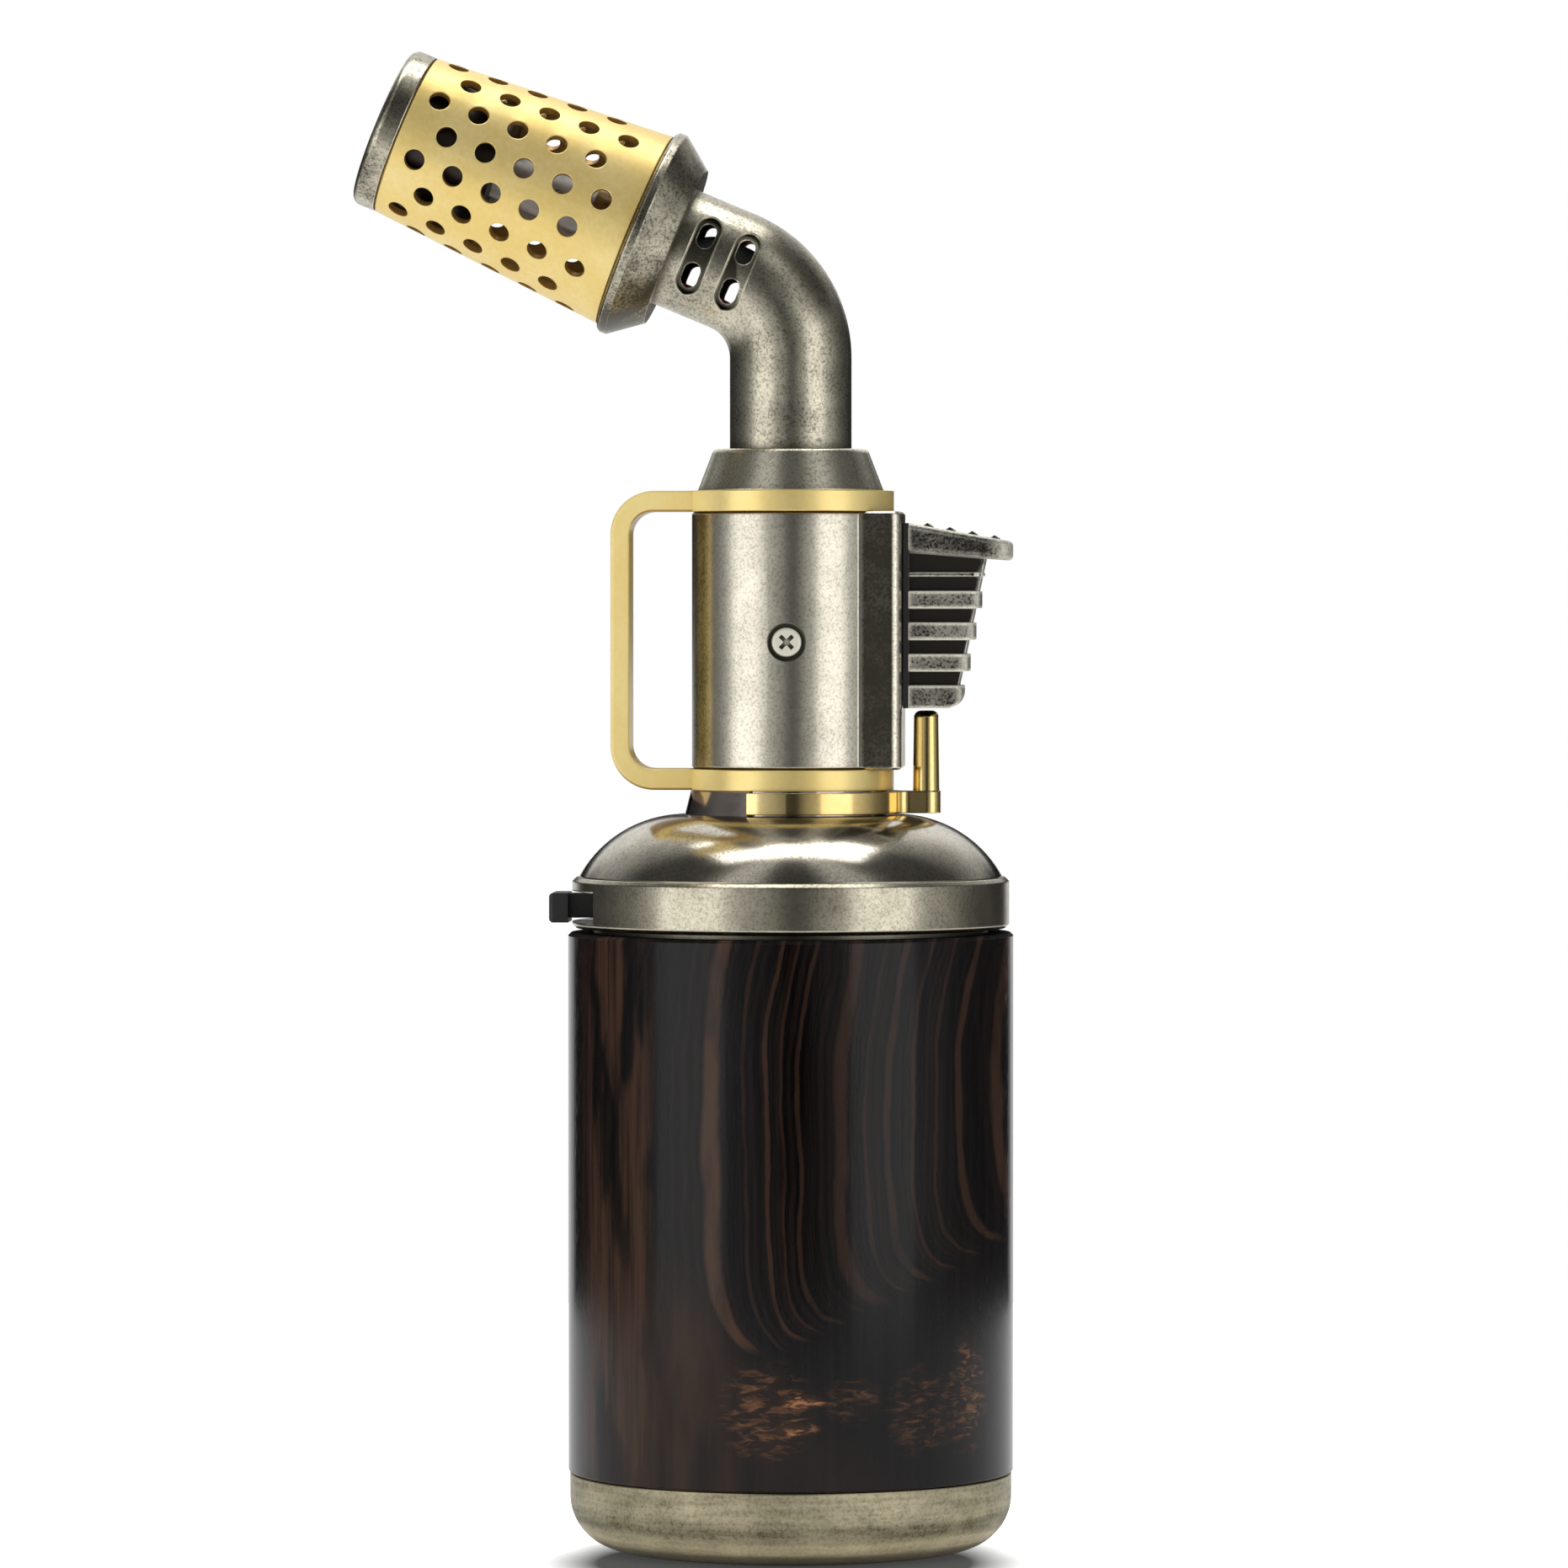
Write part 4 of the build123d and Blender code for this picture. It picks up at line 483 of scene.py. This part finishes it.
# Lock lever: a band that turns on the collar, with an arm and a post under the trigger. It is one
# piece of brass, gold plated and buffed to a mirror.
def plated(name, pale, deep, gloss, metal=1.0, marks=0.06, pits=0.003, inside=None,
           dulled=None):
    """Gold plate: a faint drift between pale and deep gold, brown in corners as dirt and painted
    shade, and, unless an inside mask is given, brown along down-facing edges as painted shade.
    """
    plate = Finish(name, metal=metal)
    if dulled is not None:
        plate.tree.links.new(dulled(plate), plate.skin.inputs["Metallic"])
    drift = plate.noise(0.2, 3.0)
    buff = plate.noise(2.0, 4.0, rough=0.6)
    tone = plate.math("MULTIPLY_ADD", buff, 0.6, plate.math("MULTIPLY_ADD", drift, 0.8, -0.4))
    colour = plate.blend(plate.step(tone, 0.1, 0.6), deep, pale)
    brown = tuple(c * t for c, t in zip(deep, (0.50, 0.38, 0.25)))
    # Painted shade: brown where the edges face down, unless an inside mask is given.
    under = plate.node("ShaderNodeSeparateXYZ", {0: plate.eased(0.00018)}).outputs[2]
    unshaded_unburnt = inside(plate) if inside is not None else plate.step(under, -0.62, -0.20)
    soil_and_shade = plate.math("MULTIPLY", plate.step(plate.shelter(0.0012), 0.30, 0.80), unshaded_unburnt)
    rough = plate.math("MULTIPLY_ADD", buff, marks, gloss - 0.5 * marks)
    return plate.wear(plate.blend(soil_and_shade, brown, colour), rough,
                      plate.relief(buff, pits / 1000.0, under=plate.eased(0.0002)))


plated("mirror_gold", (0.97, 0.78, 0.38), (0.92, 0.68, 0.26), 0.15, marks=0.04,
       pits=0.001).dress("lock_lever")

# Neck nut: a turned brass nut, out of sight inside the dome. It clamps neck and dome together
# from below.
brass.dress("neck_nut")


# Handle: one casting with the rings that grip the neck, gold plated. The rings are polished
# brighter than the loop.
def loop_dulled(plate):
    return plate.step(plate.at[0], -8.5, -6.0, 0.08, 0.55)


plated("satin_gold", (1.0, 0.81, 0.34), (0.97, 0.74, 0.27), 0.30, marks=0.10,
       dulled=loop_dulled).dress("handle")

# Inner frame: punched steel cheeks inside the casing, which carry the igniter and the rocker
# and take the threads of the two screws.
cheek = turned("punched_steel", (0.62, 0.62, 0.60), (0.42, 0.41, 0.39), 0.34)
cheek.dress("inner_frame")

# Neck casing: a round casting with a square front, in antique pewter. Its flat sides and the strip
# behind the loop are painted darker as shade, and the seats of the two screws are painted dark
# as shade.
screw_axis_height = 93.6
screw_seat_reach = 1.95


def casing_shade(metal):
    # Painted shade: the flat sides, the strip behind the loop and the two screw seats are darkened.
    painted_flank_shade = metal.math("MULTIPLY", metal.step(metal.math("ABSOLUTE", metal.facing[1]), 0.97, 0.995),
                       metal.step(metal.at[0], 7.4, 7.9))
    level = metal.math("SUBTRACT", metal.at[2], screw_axis_height)
    reach = metal.math("SQRT", metal.math("MULTIPLY_ADD", metal.at[0], metal.at[0],
                                          metal.math("MULTIPLY", level, level)))
    painted_seat_shade = metal.step(reach, screw_seat_reach + 0.06, screw_seat_reach - 0.02)
    painted_loop_shade = metal.step(metal.at[0], -7.9, -8.9, 0.0, 0.60)
    painted_side_shade = metal.math("MAXIMUM", metal.math("MULTIPLY", painted_flank_shade, 0.78), painted_loop_shade)
    return metal.math("MAXIMUM", painted_side_shade, metal.math("MULTIPLY", painted_seat_shade, 3.0))


antique("neck_pewter", (0.88, 0.83, 0.69), (0.14, 0.13, 0.095), level=0.82, grain=0.32,
        cloud=0.08, gloss=(0.30, 0.23), stain=casing_shade).dress("neck_casing")

# Frame screws: bright steel pan-head screws with a cross recess, one on each side of the neck.
# They pass through the casing into the inner frame.
screw_steel = Finish("screw_steel", metal=0.35)
scuff = screw_steel.noise(3.0, 3.0)
# Painted shade: the cross recess is darkened.
recess = screw_steel.step(screw_steel.shelter(0.0006), 0.45, 0.95)
screw_steel.wear(
    screw_steel.blend(recess, (0.07, 0.065, 0.055), (0.84, 0.80, 0.68)),
    screw_steel.math("MULTIPLY_ADD", scuff, 0.15, 0.42), screw_steel.relief(scuff, 0.000006))
screw_steel.dress("frame_screws")

# Rocker and pin: small punched and turned steel parts inside the neck. They pass the trigger's
# push to the gas valve.
cheek.dress("valve_rocker", "rocker_pin")

# Igniter: a moulded body and plunger, with the piezo element sealed inside. A steel spring
# returns the plunger.
igniter = moulded("igniter_case", (0.05, 0.05, 0.055), 0.25)
igniter.dress("piezo_body", "piezo_plunger")
spring_steel.dress("piezo_spring")

# Trigger: a ribbed, notched thumb piece cast like the casing. Its hollows stay black, lightened by
# a painted highlight at their front ends; thumbs have rubbed the borders of the ribs and of the
# plate bright, and the ribs' rounded front corners carry a painted highlight.
trigger_rib_face = 5.5
trigger_plate_foot = 101.2
trigger_tip = 19.8


def trigger_marks_and_highlights(metal):
    side = metal.math("ABSOLUTE", metal.at[1])
    sideways = metal.math("ABSOLUTE", metal.facing[1])
    core_front = metal.math("MULTIPLY_ADD", metal.at[2], 0.168, 3.3)
    sunk = metal.step(side, trigger_rib_face - 0.20, trigger_rib_face - 0.45)
    hollow = metal.math("MULTIPLY", sunk, metal.step(sideways, 0.90, 0.98))
    # Painted highlight: the hollows lighten towards their front ends, at the core's rounded corner.
    hollow = metal.math("MULTIPLY", hollow, metal.step(
        metal.math("SUBTRACT", core_front, metal.at[0]), 0.7, 1.3, 0.35, 1.0))
    # Painted highlight on the rounded front corners of the ribs.
    rounded = metal.math("MULTIPLY", metal.step(sideways, 0.97, 0.60), metal.step(side, 4.2, 4.9))
    wear_and_corner_highlight = metal.math("MAXIMUM", metal.rim(0.0006, 0.985), rounded)
    wear_and_corner_highlight = metal.math("MULTIPLY", wear_and_corner_highlight, metal.math("SUBTRACT", 1.0, hollow))
    wear_and_corner_highlight = metal.math("MAXIMUM", wear_and_corner_highlight, metal.step(metal.at[0], trigger_tip, trigger_tip + 2.2))
    plate = metal.step(metal.at[2], trigger_plate_foot, trigger_plate_foot + 1.0)
    plate = metal.math("MULTIPLY", plate, 0.18)
    stain = metal.math("MULTIPLY_ADD", hollow, 0.9, plate)
    return metal.math("SUBTRACT", stain, metal.math("MULTIPLY", wear_and_corner_highlight, 0.55))


antique("trigger_pewter", (0.98, 0.95, 0.80), (0.014, 0.012, 0.009), level=0.25, grain=0.30,
        cloud=0.10, gloss=(0.48, 0.42), rim=0.0002, soil_and_shade=0.97, speck=3.6, metal_share=0.45,
        stain=trigger_marks_and_highlights).dress("trigger")

# Slider: a black moulded plate behind the trigger. It slides up and down in the neck's square
# front and carries the trigger.
black_plastic.dress("trigger_slider")

# Top collar and elbow: the cone that caps the neck and the bent tube above it. Both are antique
# pewter, the cone rubbed brighter. The pressed pockets in the tube's arm and its bore stay black.
burner_x, burner_z = -16.57, 136.28
burner_sin, burner_cos = 0.3853, 0.9228


def arm_place(metal):
    """Distance from the burner's axis (mm) and how far the surface faces away from it."""
    along = metal.math("MULTIPLY", metal.math("SUBTRACT", metal.at[0], burner_x), burner_sin)
    lift = metal.math("MULTIPLY_ADD", metal.math("SUBTRACT", metal.at[2], burner_z),
                      burner_cos, along)
    reach = metal.math("SQRT", metal.math("MULTIPLY_ADD", metal.at[1], metal.at[1],
                                          metal.math("MULTIPLY", lift, lift)))
    upward = metal.math("MULTIPLY_ADD", metal.facing[2], burner_cos,
                        metal.math("MULTIPLY", metal.facing[0], burner_sin))
    outward = metal.math("MULTIPLY_ADD", upward, lift,
                         metal.math("MULTIPLY", metal.facing[1], metal.at[1]))
    return reach, metal.math("DIVIDE", outward, reach)


def tube_stain(metal):
    reach = arm_place(metal)[0]
    on_arm = metal.step(metal.at[0], -5.0, -5.6)
    sunk = metal.math("MULTIPLY", metal.step(reach, 6.20, 6.05), on_arm)
    return metal.math("MULTIPLY", sunk, 0.9)


antique("tube_pewter", (0.76, 0.71, 0.56), (0.10, 0.09, 0.068), level=0.72, grain=0.48, cloud=0.20,
        gloss=(0.34, 0.25), stain=tube_stain).dress("elbow_tube")
antique("cone_pewter", (1.0, 0.94, 0.76), (0.12, 0.105, 0.08), level=0.94, grain=0.50, cloud=0.12,
        gloss=(0.36, 0.27)).dress("top_collar")

# Gas hose and ignition wire: a rubber hose from the valve's stem and a red insulated wire from the
# igniter. Both run up inside the neck and the bent tube to the burner.
rubber("hose_rubber", (0.10, 0.10, 0.10), 0.45).dress("gas_hose")
moulded("red_insulation", (0.35, 0.02, 0.02), 0.30).dress("ignition_wire")

# Burner inside: turned brass holders and jet, a bright steel mixing tube and a burnt steel cup.
# A steel electrode in a fired ceramic sleeve makes the spark.
brass.dress("jet_holder", "gas_jet", "flame_holder")
cheek.dress("electrode")
turned("bright_tube", (0.90, 0.87, 0.84), (0.72, 0.68, 0.64), 0.45).dress("mixing_tube")
turned("burnt_steel", (0.10, 0.085, 0.075), (0.04, 0.032, 0.03), 0.42).dress("flame_cup")
fired = Finish("fired_ceramic", metal=0.0, specular=0.4)
glaze = fired.noise(8.0, 2.0)
fired.wear(fired.blend(fired.step(fired.noise(1.5, 3.0), 0.35, 0.7), (0.85, 0.83, 0.78),
                       (0.74, 0.70, 0.62)),
           fired.math("MULTIPLY_ADD", glaze, 0.15, 0.5), fired.relief(glaze, 0.00001))
fired.dress("electrode_insulator")

# Rear cap and front ring: cast and turned ends that hold the shroud, in antique pewter. The cap's
# underside is painted darker, as shade.
def cap_underside_shade(metal):
    # Painted shade: darker where the cap faces down.
    on_cap = metal.step(metal.at[0], -32.0, -27.0)
    return metal.math("MULTIPLY", metal.step(metal.facing[2], -0.20, -0.70, 0.0, 0.40), on_cap)


antique("burner_pewter", (0.76, 0.71, 0.55), (0.10, 0.09, 0.07), level=0.60, grain=0.50,
        cloud=0.28, stain=cap_underside_shade).dress("rear_cap", "front_ring")


# Heat shroud: a rolled brass tube with rows of punched holes, gold plated and satin polished
# outside, burnt brown inside and in the walls of the holes.
def burnt_inside(plate):
    outward = arm_place(plate)[1]
    return plate.step(outward, 0.10, 0.60)


plated("brushed_gold", (1.0, 0.81, 0.36), (0.93, 0.69, 0.23), 0.36, metal=0.55, marks=0.12,
       inside=burnt_inside).dress("heat_shroud")
